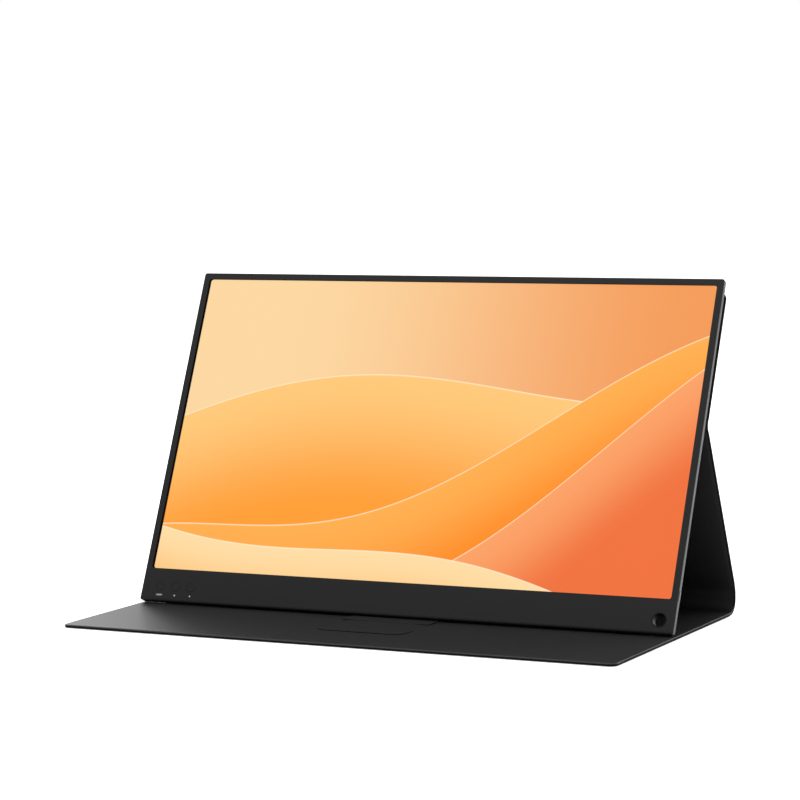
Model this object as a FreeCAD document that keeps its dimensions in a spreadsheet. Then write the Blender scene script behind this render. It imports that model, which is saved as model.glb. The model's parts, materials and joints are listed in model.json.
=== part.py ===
"""Portable monitor standing in its folding cover, in millimetres.

The row frame has +X to the viewer's right, +Y away from the viewer and +Z up. Its origin is on the table,
under the middle of the whole object. The display has a frame of its own: x to the right from its middle,
y from the front face into the depth, z up the face from the lower edge. Each cover panel has one too:
x to the right, y along the panel, z from its outside face to its inside face.
"""
import FreeCAD
import Part
import Sketcher
import math
import operator
import os

Vector = FreeCAD.Vector

# Driving dimensions in millimetres, tilt in degrees.
SIZES = {
    # Display face
    "screen_width": 344.2,
    "screen_height": 193.6,
    "side_bezel": 4.45,
    "top_bezel": 4.4,
    "chin_height": 21.2,
    "screen_reveal": 0.3,
    "window_corner_radius": 1.5,
    "display_corner_radius": 1.5,
    # Display shells
    "bezel_depth": 1.0,
    "bezel_edge_radius": 0.35,
    "bezel_foot_rise": 1.5,
    "bezel_foot_depth": 0.8,
    "edge_depth": 4.7,
    "back_edge_radius": 1.4,
    "side_wall": 1.2,
    "back_wall": 0.9,
    "shell_seam": 0.05,
    # Thick lower back
    "hump_depth": 9.4,
    "hump_inset": 16.0,
    "hump_plateau": 58.0,
    "hump_ramp": 30.0,
    "hump_bevel": 2.2,
    # Stand
    "tilt": 24.2,
    "fold_height": 128.3,
    "strut_slack": 0.8,
    "spine_height": 13.6,
    "foot_clearance": 0.05,
    "base_reach": 91.5,
    # Cover sheets
    "cover_inset": 0.05,
    "skin_thickness": 0.7,
    "board_thickness": 0.8,
    "lining_thickness": 0.5,
    "board_margin": 3.0,
    "board_clearance": 0.05,
    "panel_edge_radius": 0.4,
    "attach_drop": 6.0,
    "attach_corner_radius": 5.0,
    "base_corner_radius": 5.0,
    "top_fold_reach": 3.0,
    "lower_fold_reach": 2.5,
    "rear_fold_reach": 8.5,
    "attach_tape_thickness": 0.15,
    "attach_tape_width": 18.0,
    "attach_tape_margin": 8.0,
    # Stop on the base
    "stop_width": 57.0,
    "stop_pad_reach": 51.5,
    "stop_pad_thickness": 0.35,
    "stop_pad_corner_radius": 9.0,
    "stop_lip_front": 13.0,
    "stop_lip_rear": 0.9,
    "stop_lip_height": 0.6,
    "stop_lip_nose": 0.45,
    "stop_lip_slope": 10.5,
    "magnet_length": 22.0,
    "magnet_width": 8.0,
    "magnet_spacing": 28.0,
    "magnet_setback": 3.2,
    "magnet_clearance": 0.1,
    # Display panel stack
    "stack_gap": 0.05,
    "cell_thickness": 0.8,
    "cell_border": 1.0,
    "cell_ledge": 5.0,
    "film_thickness": 0.2,
    "guide_thickness": 0.6,
    "reflector_thickness": 0.15,
    "tray_thickness": 0.3,
    "tray_lip": 0.3,
    "led_bar_width": 2.6,
    "panel_tape_width": 6.0,
    "panel_tape_inset": 12.0,
    # Main board and ports
    "board_plate": 0.8,
    "board_lift": 1.1,
    "main_board_length": 115.0,
    "main_board_width": 30.5,
    "main_board_rise": 16.0,
    "main_board_inset": 2.3,
    "port_clearance": 0.15,
    "port_shell": 0.3,
    "port_depth": 8.5,
    "port_height": 3.2,
    "tongue_thickness": 0.7,
    "usb_width": 9.0,
    "usb_first_rise": 31.0,
    "usb_second_rise": 41.0,
    "hdmi_width": 11.2,
    "hdmi_rise": 19.5,
    "jack_width": 6.0,
    "jack_height": 4.2,
    "jack_length": 12.0,
    "jack_bore_radius": 1.8,
    "jack_mouth_radius": 2.3,
    "connector_height": 0.85,
    "connector_length": 10.0,
    "connector_width": 5.0,
    "lead_block_length": 6.0,
    "shield_length": 34.0,
    "shield_width": 20.0,
    "shield_height": 1.8,
    "shield_wall": 0.25,
    "post_radius": 1.8,
    "board_screw_radius": 0.8,
    "board_screw_head_radius": 1.5,
    "board_screw_head": 0.6,
    "board_screw_length": 3.6,
    "board_screw_inset": 3.0,
    # Driver board and flat cables
    "driver_board_inset": 9.3,
    "driver_board_width": 9.0,
    "driver_board_gap": 12.0,
    "flex_thickness": 0.15,
    "flex_width": 3.0,
    "flex_overlap": 8.0,
    # Front keys
    "key_radius": 2.8,
    "key_clearance": 0.12,
    "key_proud": 0.12,
    "key_flange": 0.6,
    "key_flange_thickness": 0.3,
    "key_travel": 0.3,
    "key_rest_gap": 0.1,
    "key_rise": 9.6,
    "first_key_inset": 12.8,
    "key_spacing": 10.8,
    "key_board_length": 38.0,
    "key_board_width": 10.0,
    "key_board_plate": 0.6,
    "switch_size": 3.4,
    "switch_height": 0.8,
    "key_post_radius": 1.2,
    "key_post_inset": 2.2,
    # Power button in the right wall
    "power_length": 6.2,
    "power_width": 1.9,
    "power_rise": 23.4,
    "power_depth": 2.45,
    "power_proud": 0.15,
    "power_clearance": 0.1,
    "power_flange": 0.2,
    "power_flange_thickness": 0.4,
    "power_switch_thickness": 0.9,
    # Speakers
    "speaker_length": 28.0,
    "speaker_width": 10.0,
    "speaker_height": 3.5,
    "speaker_cone_radius": 3.8,
    "speaker_cone_height": 0.4,
    "speaker_slot_length": 6.0,
    "speaker_slot_width": 1.2,
    "speaker_slot_pitch": 2.6,
    "lead_width": 1.6,
    "lead_thickness": 0.4,
    # Case screws
    "boss_radius": 2.2,
    "boss_rise": 7.5,
    "boss_inset": 40.55,
    "case_screw_radius": 1.0,
    "case_screw_head_radius": 1.9,
    "case_screw_head": 0.45,
    "case_screw_length": 5.2,
    "case_screw_reserve": 0.4,
    "thread_clearance": 0.02,
    "head_clearance": 0.1,
    "hex_radius": 0.7,
    # Pen hole and foot
    "pen_bore_radius": 4.0,
    "pen_sleeve_wall": 0.6,
    "pen_hole_inset": 9.5,
    "pen_hole_rise": 8.0,
    "keeper_length": 60.0,
    "keeper_thickness": 0.8,
    "keeper_width": 3.4,
    # Shared by all cuts and by the search for edges
    "overrun": 1.0,
    "edge_tolerance": 0.001,
}

SPEAKER_SLOTS = 8
CASE_SCREWS = 6
HEX_SIDES = 6
KEY_NAMES = ("menu_key", "up_key", "down_key")

OPERATIONS = {
    "+": operator.add,
    "-": operator.sub,
    "*": operator.mul,
    "/": operator.truediv,
}

doc = FreeCAD.newDocument("portable_monitor")
pieces = []


class Size:
    """A length that carries its sheet formula and its present value."""

    def __init__(self, formula, value):
        self.formula = formula
        self.value = value

    def __add__(self, other):
        return joined(self, "+", other)

    def __radd__(self, other):
        return joined(other, "+", self)

    def __sub__(self, other):
        return joined(self, "-", other)

    def __rsub__(self, other):
        return joined(other, "-", self)

    def __mul__(self, other):
        return joined(self, "*", other)

    def __rmul__(self, other):
        return joined(other, "*", self)

    def __truediv__(self, other):
        return joined(self, "/", other)

    def __neg__(self):
        return joined(0, "-", self)


def as_size(item):
    """The item itself, or a plain number as a Size."""
    if isinstance(item, Size):
        return item
    return Size(str(float(item)), float(item))


def joined(left, sign, right):
    """Two sizes joined by an arithmetic sign, as a formula and as a value."""
    first = as_size(left)
    second = as_size(right)
    value = OPERATIONS[sign](first.value, second.value)
    return Size(f"({first.formula} {sign} {second.formula})", value)


class Dimensions:
    """The sheet's cells, each read as an attribute of the same name."""

    def __init__(self, sheet, names):
        for name in names:
            setattr(self, name, Size(f"{sheet.Name}.{name}", float(getattr(sheet, name))))


def write_sheet():
    """The spreadsheet with one named cell for each driving dimension."""
    sheet = doc.addObject("Spreadsheet::Sheet", "dims")
    for row, (name, value) in enumerate(SIZES.items(), start=1):
        sheet.set(f"A{row}", name)
        sheet.set(f"B{row}", str(value))
        sheet.setAlias(f"B{row}", name)
    doc.recompute()
    return Dimensions(sheet, SIZES)


d = write_sheet()

# Sizes that follow from the driving ones.
display_width = d.screen_width + 2 * d.side_bezel
display_height = d.screen_height + d.top_bezel + d.chin_height
half_width = display_width / 2
hump_half = half_width - d.hump_inset
cavity_back = d.edge_depth - d.back_wall
hump_cavity_back = d.hump_depth - d.back_wall
hump_floor = d.side_wall + d.hump_bevel
cover_thickness = d.skin_thickness + d.board_thickness + d.lining_thickness
strip_thickness = d.skin_thickness + d.lining_thickness
strut_length = d.fold_height - d.spine_height + d.strut_slack
fold_depth = d.edge_depth + d.attach_tape_thickness + cover_thickness / 2
cover_width = display_width - 2 * d.cover_inset
cover_half = cover_width / 2


class Linkage:
    """The stand's hinge points in the row frame, each as (y, z), worked out from the sizes."""

    def __init__(self):
        lean = math.radians(d.tilt.value)
        half_cover = cover_thickness.value / 2
        thin_drop = d.edge_depth.value * math.sin(lean)
        thick_drop = d.hump_depth.value * math.sin(lean) - d.hump_bevel.value * math.cos(lean)
        foot_z = cover_thickness.value + max(thin_drop, thick_drop) + d.foot_clearance.value
        up = d.fold_height.value
        back = fold_depth.value
        fold_y = up * math.sin(lean) + back * math.cos(lean)
        fold_z = foot_z + up * math.cos(lean) - back * math.sin(lean)
        lower_z = half_cover + d.spine_height.value
        run = math.sqrt(strut_length.value ** 2 - (fold_z - lower_z) ** 2)
        rear_y = fold_y + run + half_cover
        shift = (d.base_reach.value - rear_y) / 2
        self.foot = (shift, foot_z)
        self.fold = (fold_y + shift, fold_z)
        self.lower = (fold_y + run + shift, lower_z)
        self.rear = (fold_y + run + shift, half_cover)
        self.front_y = shift - d.base_reach.value
        self.strut_angle = math.degrees(math.atan2(fold_z - lower_z, -run))


link = Linkage()


def turned(degrees, y, z):
    """A frame turned about the X axis, with its origin at (0, y, z)."""
    return FreeCAD.Placement(Vector(0, y, z), FreeCAD.Rotation(Vector(1, 0, 0), degrees))


def panel_frame(degrees, hinge):
    """A cover panel's frame: its origin lies on the outside face, beside the hinge point."""
    middle = turned(degrees, hinge[0], hinge[1])
    outside = FreeCAD.Placement(Vector(0, 0, -cover_thickness.value / 2), FreeCAD.Rotation())
    return middle.multiply(outside)


ROW = FreeCAD.Placement()
DISPLAY = turned(-d.tilt.value, link.foot[0], link.foot[1])
ATTACH = panel_frame(90 - d.tilt.value, link.fold)
STRUT = panel_frame(link.strut_angle, link.lower)
SPINE = panel_frame(90, link.rear)


def bind(item, name, size):
    """Ties a property of a document object to the sheet."""
    item.setExpression(name, as_size(size).formula)


def keep(item, name):
    """Names a finished piece and lists it for export."""
    item.Label = name
    pieces.append(item)
    return item


def draw_outline(sketch, points):
    """A closed outline through the points, each held at its sheet position."""
    first = sketch.GeometryCount
    corners = [(as_size(x), as_size(y)) for x, y in points]
    count = len(corners)
    for index, (x, y) in enumerate(corners):
        far_x, far_y = corners[(index + 1) % count]
        line = Part.LineSegment(Vector(x.value, y.value, 0), Vector(far_x.value, far_y.value, 0))
        sketch.addGeometry(line)
    for index in range(count):
        following = first + (index + 1) % count
        sketch.addConstraint(Sketcher.Constraint("Coincident", first + index, 2, following, 1))
    for index, corner in enumerate(corners):
        hold_point(sketch, first + index, 1, corner)


def hold_point(sketch, element, end, point):
    """Holds a point of a sketch element at its distance from the sketch's two axes."""
    for kind, axis, size in (("DistanceX", -2, point[0]), ("DistanceY", -1, point[1])):
        if size.formula == as_size(0).formula:
            sketch.addConstraint(Sketcher.Constraint("PointOnObject", element, end, axis))
            continue
        number = sketch.addConstraint(Sketcher.Constraint(kind, -1, 1, element, end, size.value))
        bind(sketch, f"Constraints[{number}]", size)


def draw_box(sketch, x, y):
    """A rectangle between two pairs of limits."""
    draw_outline(sketch, [(x[0], y[0]), (x[1], y[0]), (x[1], y[1]), (x[0], y[1])])


def draw_circle(sketch, x, y, radius):
    """A circle with its centre and radius tied to the sheet."""
    centre = (as_size(x), as_size(y))
    size = as_size(radius)
    circle = Part.Circle(Vector(centre[0].value, centre[1].value, 0), Vector(0, 0, 1), size.value)
    element = sketch.addGeometry(circle)
    hold_point(sketch, element, 3, centre)
    number = sketch.addConstraint(Sketcher.Constraint("Radius", element, size.value))
    bind(sketch, f"Constraints[{number}]", size)


class Solid:
    """A part body made of sketched pads, cuts and fillets on its own planes."""

    def __init__(self, name, frame):
        self.body = doc.addObject("PartDesign::Body", name)
        self.frame = frame
        self.name = name

    def sketch(self, role, offset, draw):
        """A sketch on one of the body's planes, moved along that plane's normal."""
        plane = next(item for item in self.body.Origin.OriginFeatures if item.Role == role)
        sketch = self.body.newObject("Sketcher::SketchObject", f"{self.name}_sketch")
        sketch.AttachmentSupport = [(plane, "")]
        sketch.MapMode = "FlatFace"
        bind(sketch, "AttachmentOffset.Base.z", offset)
        draw(sketch)
        doc.recompute()
        return sketch

    def feature(self, kind, sketch, length, flipped=False, centred=False):
        """A pad or a pocket of the sketch; the volume shows that it took effect."""
        before = self.body.Shape.Volume if self.body.Tip else 0
        item = self.body.newObject(f"PartDesign::{kind}", f"{self.name}_{kind.lower()}")
        item.Profile = sketch
        item.Reversed = flipped
        item.Midplane = centred
        bind(item, "Length", length)
        doc.recompute()
        change = self.body.Shape.Volume - before
        if (change > 0) != (kind == "Pad"):
            raise ValueError(f"{item.Name} changed the volume by {change}")
        return item

    def face_pad(self, low, high, draw):
        """Material on the display's face plane, between two depths."""
        return self.feature("Pad", self.sketch("XZ_Plane", -as_size(low), draw), as_size(high) - low, flipped=True)

    def face_cut(self, low, high, draw):
        """A cut on the display's face plane, between two depths."""
        return self.feature("Pocket", self.sketch("XZ_Plane", -as_size(low), draw), as_size(high) - low)

    def side_pad(self, low, high, draw):
        """Material seen from the side, between two places across the width."""
        return self.feature("Pad", self.sketch("YZ_Plane", low, draw), as_size(high) - low)

    def side_cut(self, low, high, draw):
        """A cut seen from the side, between two places across the width."""
        return self.feature("Pocket", self.sketch("YZ_Plane", low, draw), as_size(high) - low, flipped=True)

    def flat_pad(self, low, high, draw):
        """Material on a panel's plane, between two heights over its outside face."""
        return self.feature("Pad", self.sketch("XY_Plane", low, draw), as_size(high) - low)

    def flat_cut(self, low, high, draw):
        """A cut on a panel's plane, between two heights over its outside face."""
        return self.feature("Pocket", self.sketch("XY_Plane", low, draw), as_size(high) - low, flipped=True)

    def round_edges(self, wanted, radius):
        """A fillet on the edges of the last feature that the test accepts."""
        base = self.body.Tip
        edges = base.Shape.Edges
        names = [f"Edge{index}" for index, edge in enumerate(edges, start=1) if wanted(edge)]
        item = self.body.newObject("PartDesign::Fillet", f"{self.name}_fillet")
        item.Base = (base, names)
        bind(item, "Radius", radius)
        doc.recompute()
        return item

    def done(self):
        """The finished piece, set in its frame."""
        self.body.Placement = self.frame
        doc.recompute()
        return keep(self.body, self.name)


def near(value, size):
    """Whether a coordinate lies at a size."""
    return abs(value - as_size(size).value) < d.edge_tolerance.value


def is_corner(axis, across, along):
    """A test for edges that run along one axis at the corners of a rectangle in the other two.

    The limits are given as a name of the coordinate with the values that count as a corner.
    """
    def test(edge):
        box = edge.BoundBox
        spans = {"x": box.XLength, "y": box.YLength, "z": box.ZLength}
        centre = {"x": box.Center.x, "y": box.Center.y, "z": box.Center.z}
        upright = all(spans[name] < d.edge_tolerance.value for name in spans if name != axis)
        return upright and all(
            any(near(centre[name], size) for size in sizes) for name, sizes in (across, along)
        )
    return test


def rim_of_face(shape, axis, size):
    """A test for the outer edges of the largest face that lies square to an axis at a place."""
    def at_place(face):
        box = face.BoundBox
        span = {"x": box.XLength, "y": box.YLength, "z": box.ZLength}[axis]
        place = {"x": box.Center.x, "y": box.Center.y, "z": box.Center.z}[axis]
        return span < d.edge_tolerance.value and near(place, size)
    face = max((item for item in shape.Faces if at_place(item)), key=lambda item: item.Area)
    rim = face.OuterWire.Edges

    def test(edge):
        return any(edge.isSame(other) for other in rim)
    return test


def plate(name, x, y, z, frame):
    """A plain box between three pairs of limits in a frame."""
    box = doc.addObject("Part::Box", name)
    for prop, limits in (("Length", x), ("Width", y), ("Height", z)):
        bind(box, prop, as_size(limits[1]) - limits[0])
    corner = Vector(as_size(x[0]).value, as_size(y[0]).value, as_size(z[0]).value)
    box.Placement = frame.multiply(FreeCAD.Placement(corner, FreeCAD.Rotation()))
    return box


def rod(name, radius, x, y, z, frame):
    """A cylinder along the display's depth, between two depths y."""
    item = doc.addObject("Part::Cylinder", name)
    bind(item, "Radius", radius)
    bind(item, "Height", as_size(y[1]) - y[0])
    start = Vector(as_size(x).value, as_size(y[0]).value, as_size(z).value)
    along = FreeCAD.Rotation(Vector(1, 0, 0), -90)
    item.Placement = frame.multiply(FreeCAD.Placement(start, along))
    return item


def cross_rod(name, radius, x, y, z, frame):
    """A cylinder across the width, between two places x."""
    item = doc.addObject("Part::Cylinder", name)
    bind(item, "Radius", radius)
    bind(item, "Height", as_size(x[1]) - x[0])
    start = Vector(as_size(x[0]).value, as_size(y).value, as_size(z).value)
    along = FreeCAD.Rotation(Vector(0, 1, 0), 90)
    item.Placement = frame.multiply(FreeCAD.Placement(start, along))
    return item


def cut(name, base, tool):
    """One piece less another."""
    item = doc.addObject("Part::Cut", name)
    item.Base = base
    item.Tool = tool
    return item


def fuse(name, parts):
    """Pieces joined into one."""
    item = doc.addObject("Part::MultiFuse", name)
    item.Shapes = parts
    return item


def group(name, parts):
    """Separate solids that share one node."""
    item = doc.addObject("Part::Compound", name)
    item.Links = parts
    return item


def mirrored(inner, outer):
    """The limits of a stretch to the right of the middle, and those of its twin to the left."""
    return ((inner, outer), (-as_size(outer), -as_size(inner)))


# Depths of the display stack, from the front face inwards.
cell_front = d.bezel_depth + d.stack_gap
cell_back = cell_front + d.cell_thickness
film_front = cell_back + d.stack_gap
film_back = film_front + d.film_thickness
guide_front = film_back + d.stack_gap
guide_back = guide_front + d.guide_thickness
reflector_front = guide_back + d.stack_gap
reflector_back = reflector_front + d.reflector_thickness
tray_floor = reflector_back + d.stack_gap
tray_back = tray_floor + d.tray_thickness

# Outlines of the display stack on the face.
screen_low = d.chin_height
screen_high = d.chin_height + d.screen_height
cell_half = d.screen_width / 2 + d.cell_border
cell_low = screen_low - d.cell_ledge
cell_high = screen_high + d.cell_border
tray_inner_half = cell_half + d.stack_gap
tray_half = tray_inner_half + d.tray_lip
tray_inner_low = cell_low - d.stack_gap
tray_inner_high = cell_high + d.stack_gap
tray_low = tray_inner_low - d.tray_lip
tray_high = tray_inner_high + d.tray_lip
guide_low = tray_inner_low + d.led_bar_width + 2 * d.stack_gap

# Main board's place inside the thick lower back.
board_front = tray_back + d.board_lift
board_back = board_front + d.board_plate
board_left = d.main_board_inset + d.side_wall - hump_half
board_right = board_left + d.main_board_length
board_low = d.main_board_rise
board_high = board_low + d.main_board_width
port_left = -hump_half
cable_low = board_low + 2 * d.board_screw_inset

# Places of the screws, keys, pen hole and speakers.
boss_spacing = 2 * (hump_half - d.boss_inset) / (CASE_SCREWS - 1)
boss_places = [(index - (CASE_SCREWS - 1) / 2) * boss_spacing for index in range(CASE_SCREWS)]
boss_end = hump_cavity_back - d.shell_seam
key_places = [d.first_key_inset - half_width + index * d.key_spacing for index in range(len(KEY_NAMES))]
key_flange_back = d.bezel_depth + d.key_rest_gap + d.key_flange_thickness
switch_front = key_flange_back + d.key_travel + d.key_rest_gap
switch_back = switch_front + d.switch_height
key_board_back = switch_back + d.key_board_plate
key_board_left = key_places[1] - d.key_board_length / 2
key_board_low = d.key_rise - d.key_board_width / 2
pen_place = half_width - d.pen_hole_inset
sleeve_radius = d.pen_bore_radius + d.pen_sleeve_wall
speaker_middle = 2 * boss_spacing
speaker_low = hump_floor + d.shell_seam
speaker_high = speaker_low + d.speaker_width
screw_places = [
    (x, z)
    for x in (board_left + d.board_screw_inset + d.port_depth, board_right - d.board_screw_inset)
    for z in (board_low + d.board_screw_inset, board_high - d.board_screw_inset)
]
power_low = d.power_rise - d.power_length / 2
power_high = d.power_rise + d.power_length / 2
power_front = d.power_depth - d.power_width / 2
power_back = d.power_depth + d.power_width / 2


def front_bezel():
    """The front frame: window, key holes, pen hole, screw bosses and posts for the key board."""
    shell = Solid("front_bezel", DISPLAY)
    shell.face_pad(0, d.bezel_depth, lambda s: draw_box(s, (-half_width, half_width), (0, display_height)))
    outer = is_corner("y", ("x", (-half_width, half_width)), ("z", (0, display_height)))
    shell.round_edges(outer, d.display_corner_radius)
    window_half = d.screen_width / 2 + d.screen_reveal
    window = (screen_low - d.screen_reveal, screen_high + d.screen_reveal)
    shell.face_cut(-d.overrun, d.bezel_depth + d.overrun,
                   lambda s: draw_box(s, (-window_half, window_half), window))
    inner = is_corner("y", ("x", (-window_half, window_half)), ("z", window))
    shell.round_edges(inner, d.window_corner_radius)

    def holes(sketch):
        for x in key_places:
            draw_circle(sketch, x, d.key_rise, d.key_radius + d.key_clearance)
        draw_circle(sketch, pen_place, d.pen_hole_rise, sleeve_radius + d.shell_seam)

    shell.face_cut(-d.overrun, d.bezel_depth + d.overrun, holes)

    def bosses(sketch):
        for x in boss_places:
            draw_circle(sketch, x, d.boss_rise, d.boss_radius)

    def pilots(sketch):
        for x in boss_places:
            draw_circle(sketch, x, d.boss_rise, d.case_screw_radius + d.thread_clearance)

    shell.face_pad(d.bezel_depth, boss_end, bosses)
    pilot_end = d.hump_depth - d.case_screw_head - d.case_screw_length - d.case_screw_reserve
    shell.face_cut(pilot_end, boss_end + d.overrun, pilots)

    def key_posts(sketch):
        left = key_board_left + d.key_post_inset
        right = key_board_left + d.key_board_length - d.key_post_inset
        for x in (left, right):
            draw_circle(sketch, x, key_board_low + d.key_post_inset, d.key_post_radius)

    shell.face_pad(d.bezel_depth, switch_back - d.stack_gap, key_posts)
    shell.round_edges(rim_of_face(shell.body.Tip.Shape, "y", 0), d.bezel_edge_radius)
    turns = [math.radians(angle) for angle in (0, 30, 60, 90)]
    curve = [(d.bezel_foot_depth * (1 - math.cos(turn)), d.bezel_foot_rise * (1 - math.sin(turn))) for turn in turns]
    shell.side_cut(-half_width - d.overrun, half_width + d.overrun, lambda s: draw_outline(
        s, [(-d.overrun, -d.overrun), (-d.overrun, d.bezel_foot_rise), *curve, (d.bezel_foot_depth, -d.overrun)]))
    return shell.done()


def rear_cover():
    """The back shell: thin above, thick below, square where it stands, with its openings and board posts."""
    shell = Solid("rear_cover", DISPLAY)
    front = d.bezel_depth + d.shell_seam
    shell.face_pad(front, d.edge_depth,
                   lambda s: draw_box(s, (-half_width, half_width), (0, display_height)))
    outer = is_corner("y", ("x", (-half_width, half_width)), ("z", (0, display_height)))
    shell.round_edges(outer, d.display_corner_radius)
    shell.round_edges(rim_of_face(shell.body.Tip.Shape, "y", d.edge_depth), d.back_edge_radius)
    standing_edge = half_width - d.display_corner_radius
    shell.side_pad(-standing_edge, standing_edge, lambda s: draw_outline(s, [
        (front, 0),
        (d.edge_depth, 0),
        (d.edge_depth, 2 * d.back_edge_radius),
        (front, 2 * d.back_edge_radius),
    ]))
    ramp_end = d.hump_plateau + d.hump_ramp
    shell.side_pad(-hump_half, hump_half, lambda s: draw_outline(s, [
        (cavity_back, 0),
        (d.edge_depth, 0),
        (d.hump_depth, d.hump_bevel),
        (d.hump_depth, d.hump_plateau),
        (d.edge_depth, ramp_end),
        (cavity_back, ramp_end),
    ]))
    inside = half_width - d.side_wall
    shell.face_cut(front - d.overrun, cavity_back,
                   lambda s: draw_box(s, (-inside, inside), (d.side_wall, display_height - d.side_wall)))
    hump_inside = hump_half - d.side_wall
    shell.side_cut(-hump_inside, hump_inside, lambda s: draw_outline(s, [
        (cavity_back - d.overrun, hump_floor),
        (hump_cavity_back, hump_floor),
        (hump_cavity_back, d.hump_plateau),
        (cavity_back, ramp_end),
        (cavity_back - d.overrun, ramp_end),
    ]))

    def posts(sketch):
        for x, z in screw_places:
            draw_circle(sketch, x, z, d.post_radius)

    def post_pilots(sketch):
        for x, z in screw_places:
            draw_circle(sketch, x, z, d.board_screw_radius + d.thread_clearance)

    shell.face_pad(board_back, hump_cavity_back, posts)
    shell.face_cut(board_back - d.overrun, hump_cavity_back, post_pilots)

    def port_mouths(sketch):
        low = board_back - d.port_clearance
        high = board_back + d.port_height + d.port_clearance
        for rise, width in port_list():
            half = width / 2 + d.port_clearance
            draw_box(sketch, (low, high), (rise - half, rise + half))
        draw_circle(sketch, jack_middle(), jack_rise(), d.jack_mouth_radius)

    shell.side_cut(-hump_half - d.overrun, -hump_inside + d.overrun, port_mouths)
    gap = d.power_clearance
    shell.side_cut(inside - d.edge_tolerance, half_width + d.overrun, lambda s: draw_box(
        s, (power_front - gap, power_back + gap), (power_low - gap, power_high + gap)))
    shell.face_cut(-d.overrun, d.edge_depth + d.overrun,
                   lambda s: draw_circle(s, pen_place, d.pen_hole_rise, sleeve_radius + d.shell_seam))

    def screw_holes(sketch):
        for x in boss_places:
            draw_circle(sketch, x, d.boss_rise, d.case_screw_radius + d.head_clearance)

    def screw_seats(sketch):
        for x in boss_places:
            draw_circle(sketch, x, d.boss_rise, d.case_screw_head_radius + d.head_clearance)

    shell.face_cut(hump_cavity_back - d.edge_tolerance, d.hump_depth + d.overrun, screw_holes)
    shell.face_cut(d.hump_depth - d.case_screw_head, d.hump_depth + d.overrun, screw_seats)

    def speaker_slots(sketch):
        middle = (speaker_low + speaker_high) / 2
        for side in (-1, 1):
            for index in range(SPEAKER_SLOTS):
                x = side * speaker_middle + (index - (SPEAKER_SLOTS - 1) / 2) * d.speaker_slot_pitch
                draw_box(sketch, (x - d.speaker_slot_width / 2, x + d.speaker_slot_width / 2),
                         (middle - d.speaker_slot_length / 2, middle + d.speaker_slot_length / 2))

    shell.face_cut(hump_cavity_back - d.edge_tolerance, d.hump_depth + d.overrun, speaker_slots)
    return shell.done()


def display_stack():
    """The display cell, its backlight sheets, the tray that holds them and the tape behind it."""
    across = (-cell_half, cell_half)
    keep(plate("lcd_cell", across, (cell_front, cell_back), (cell_low, cell_high), DISPLAY), "lcd_cell")
    sheets = (
        ("optical_films", film_front, film_back),
        ("light_guide", guide_front, guide_back),
        ("reflector_sheet", reflector_front, reflector_back),
    )
    for name, front, back in sheets:
        keep(plate(name, across, (front, back), (guide_low, cell_high), DISPLAY), name)
    bar = (tray_inner_low + d.stack_gap, tray_inner_low + d.stack_gap + d.led_bar_width)
    keep(plate("led_bar", across, (guide_front, guide_back), bar, DISPLAY), "led_bar")

    tray = Solid("panel_tray", DISPLAY)
    tray.face_pad(film_front, tray_back,
                  lambda s: draw_box(s, (-tray_half, tray_half), (tray_low, tray_high)))
    tray.face_cut(film_front - d.overrun, tray_floor, lambda s: draw_box(
        s, (-tray_inner_half, tray_inner_half), (tray_inner_low, tray_inner_high)))
    tray.done()

    tape_depth = (tray_back + d.stack_gap, cavity_back - d.stack_gap)
    tape_rise = (d.hump_plateau + d.hump_ramp + d.panel_tape_inset, tray_high - d.panel_tape_inset)
    strips = []
    for limits in mirrored(tray_half - d.panel_tape_inset - d.panel_tape_width, tray_half - d.panel_tape_inset):
        strips.append(plate("panel_tape_strip", limits, tape_depth, tape_rise, DISPLAY))
    keep(group("panel_tape", strips), "panel_tape")


def port_list():
    """The height up the face and the width of each flat port."""
    return (
        (d.hdmi_rise, d.hdmi_width),
        (d.usb_first_rise, d.usb_width),
        (d.usb_second_rise, d.usb_width),
    )


def jack_middle():
    """The depth of the audio socket's axis."""
    return hump_cavity_back - d.shell_seam - d.jack_height / 2


def jack_rise():
    """The height of the audio socket's axis up the face, just above the main board."""
    return board_high + d.shell_seam + d.jack_width / 2


def flat_port(name, rise, width):
    """A flat socket: a thin metal shell with a tongue inside, open on the left."""
    depth = (port_left, port_left + d.port_depth)
    back = (board_back, board_back + d.port_height)
    high = (rise - width / 2, rise + width / 2)
    shell = plate(f"{name}_block", depth, back, high, DISPLAY)
    wall = d.port_shell
    mouth = plate(f"{name}_mouth", (depth[0] - d.overrun, depth[1] - wall),
                  (back[0] + wall, back[1] - wall), (high[0] + wall, high[1] - wall), DISPLAY)
    middle = (back[0] + back[1]) / 2
    tongue = plate(f"{name}_tongue", (depth[0] + wall, depth[1] - wall),
                   (middle - d.tongue_thickness / 2, middle + d.tongue_thickness / 2),
                   (high[0] + 3 * wall, high[1] - 3 * wall), DISPLAY)
    return fuse(name, [cut(f"{name}_shell", shell, mouth), tongue])


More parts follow.
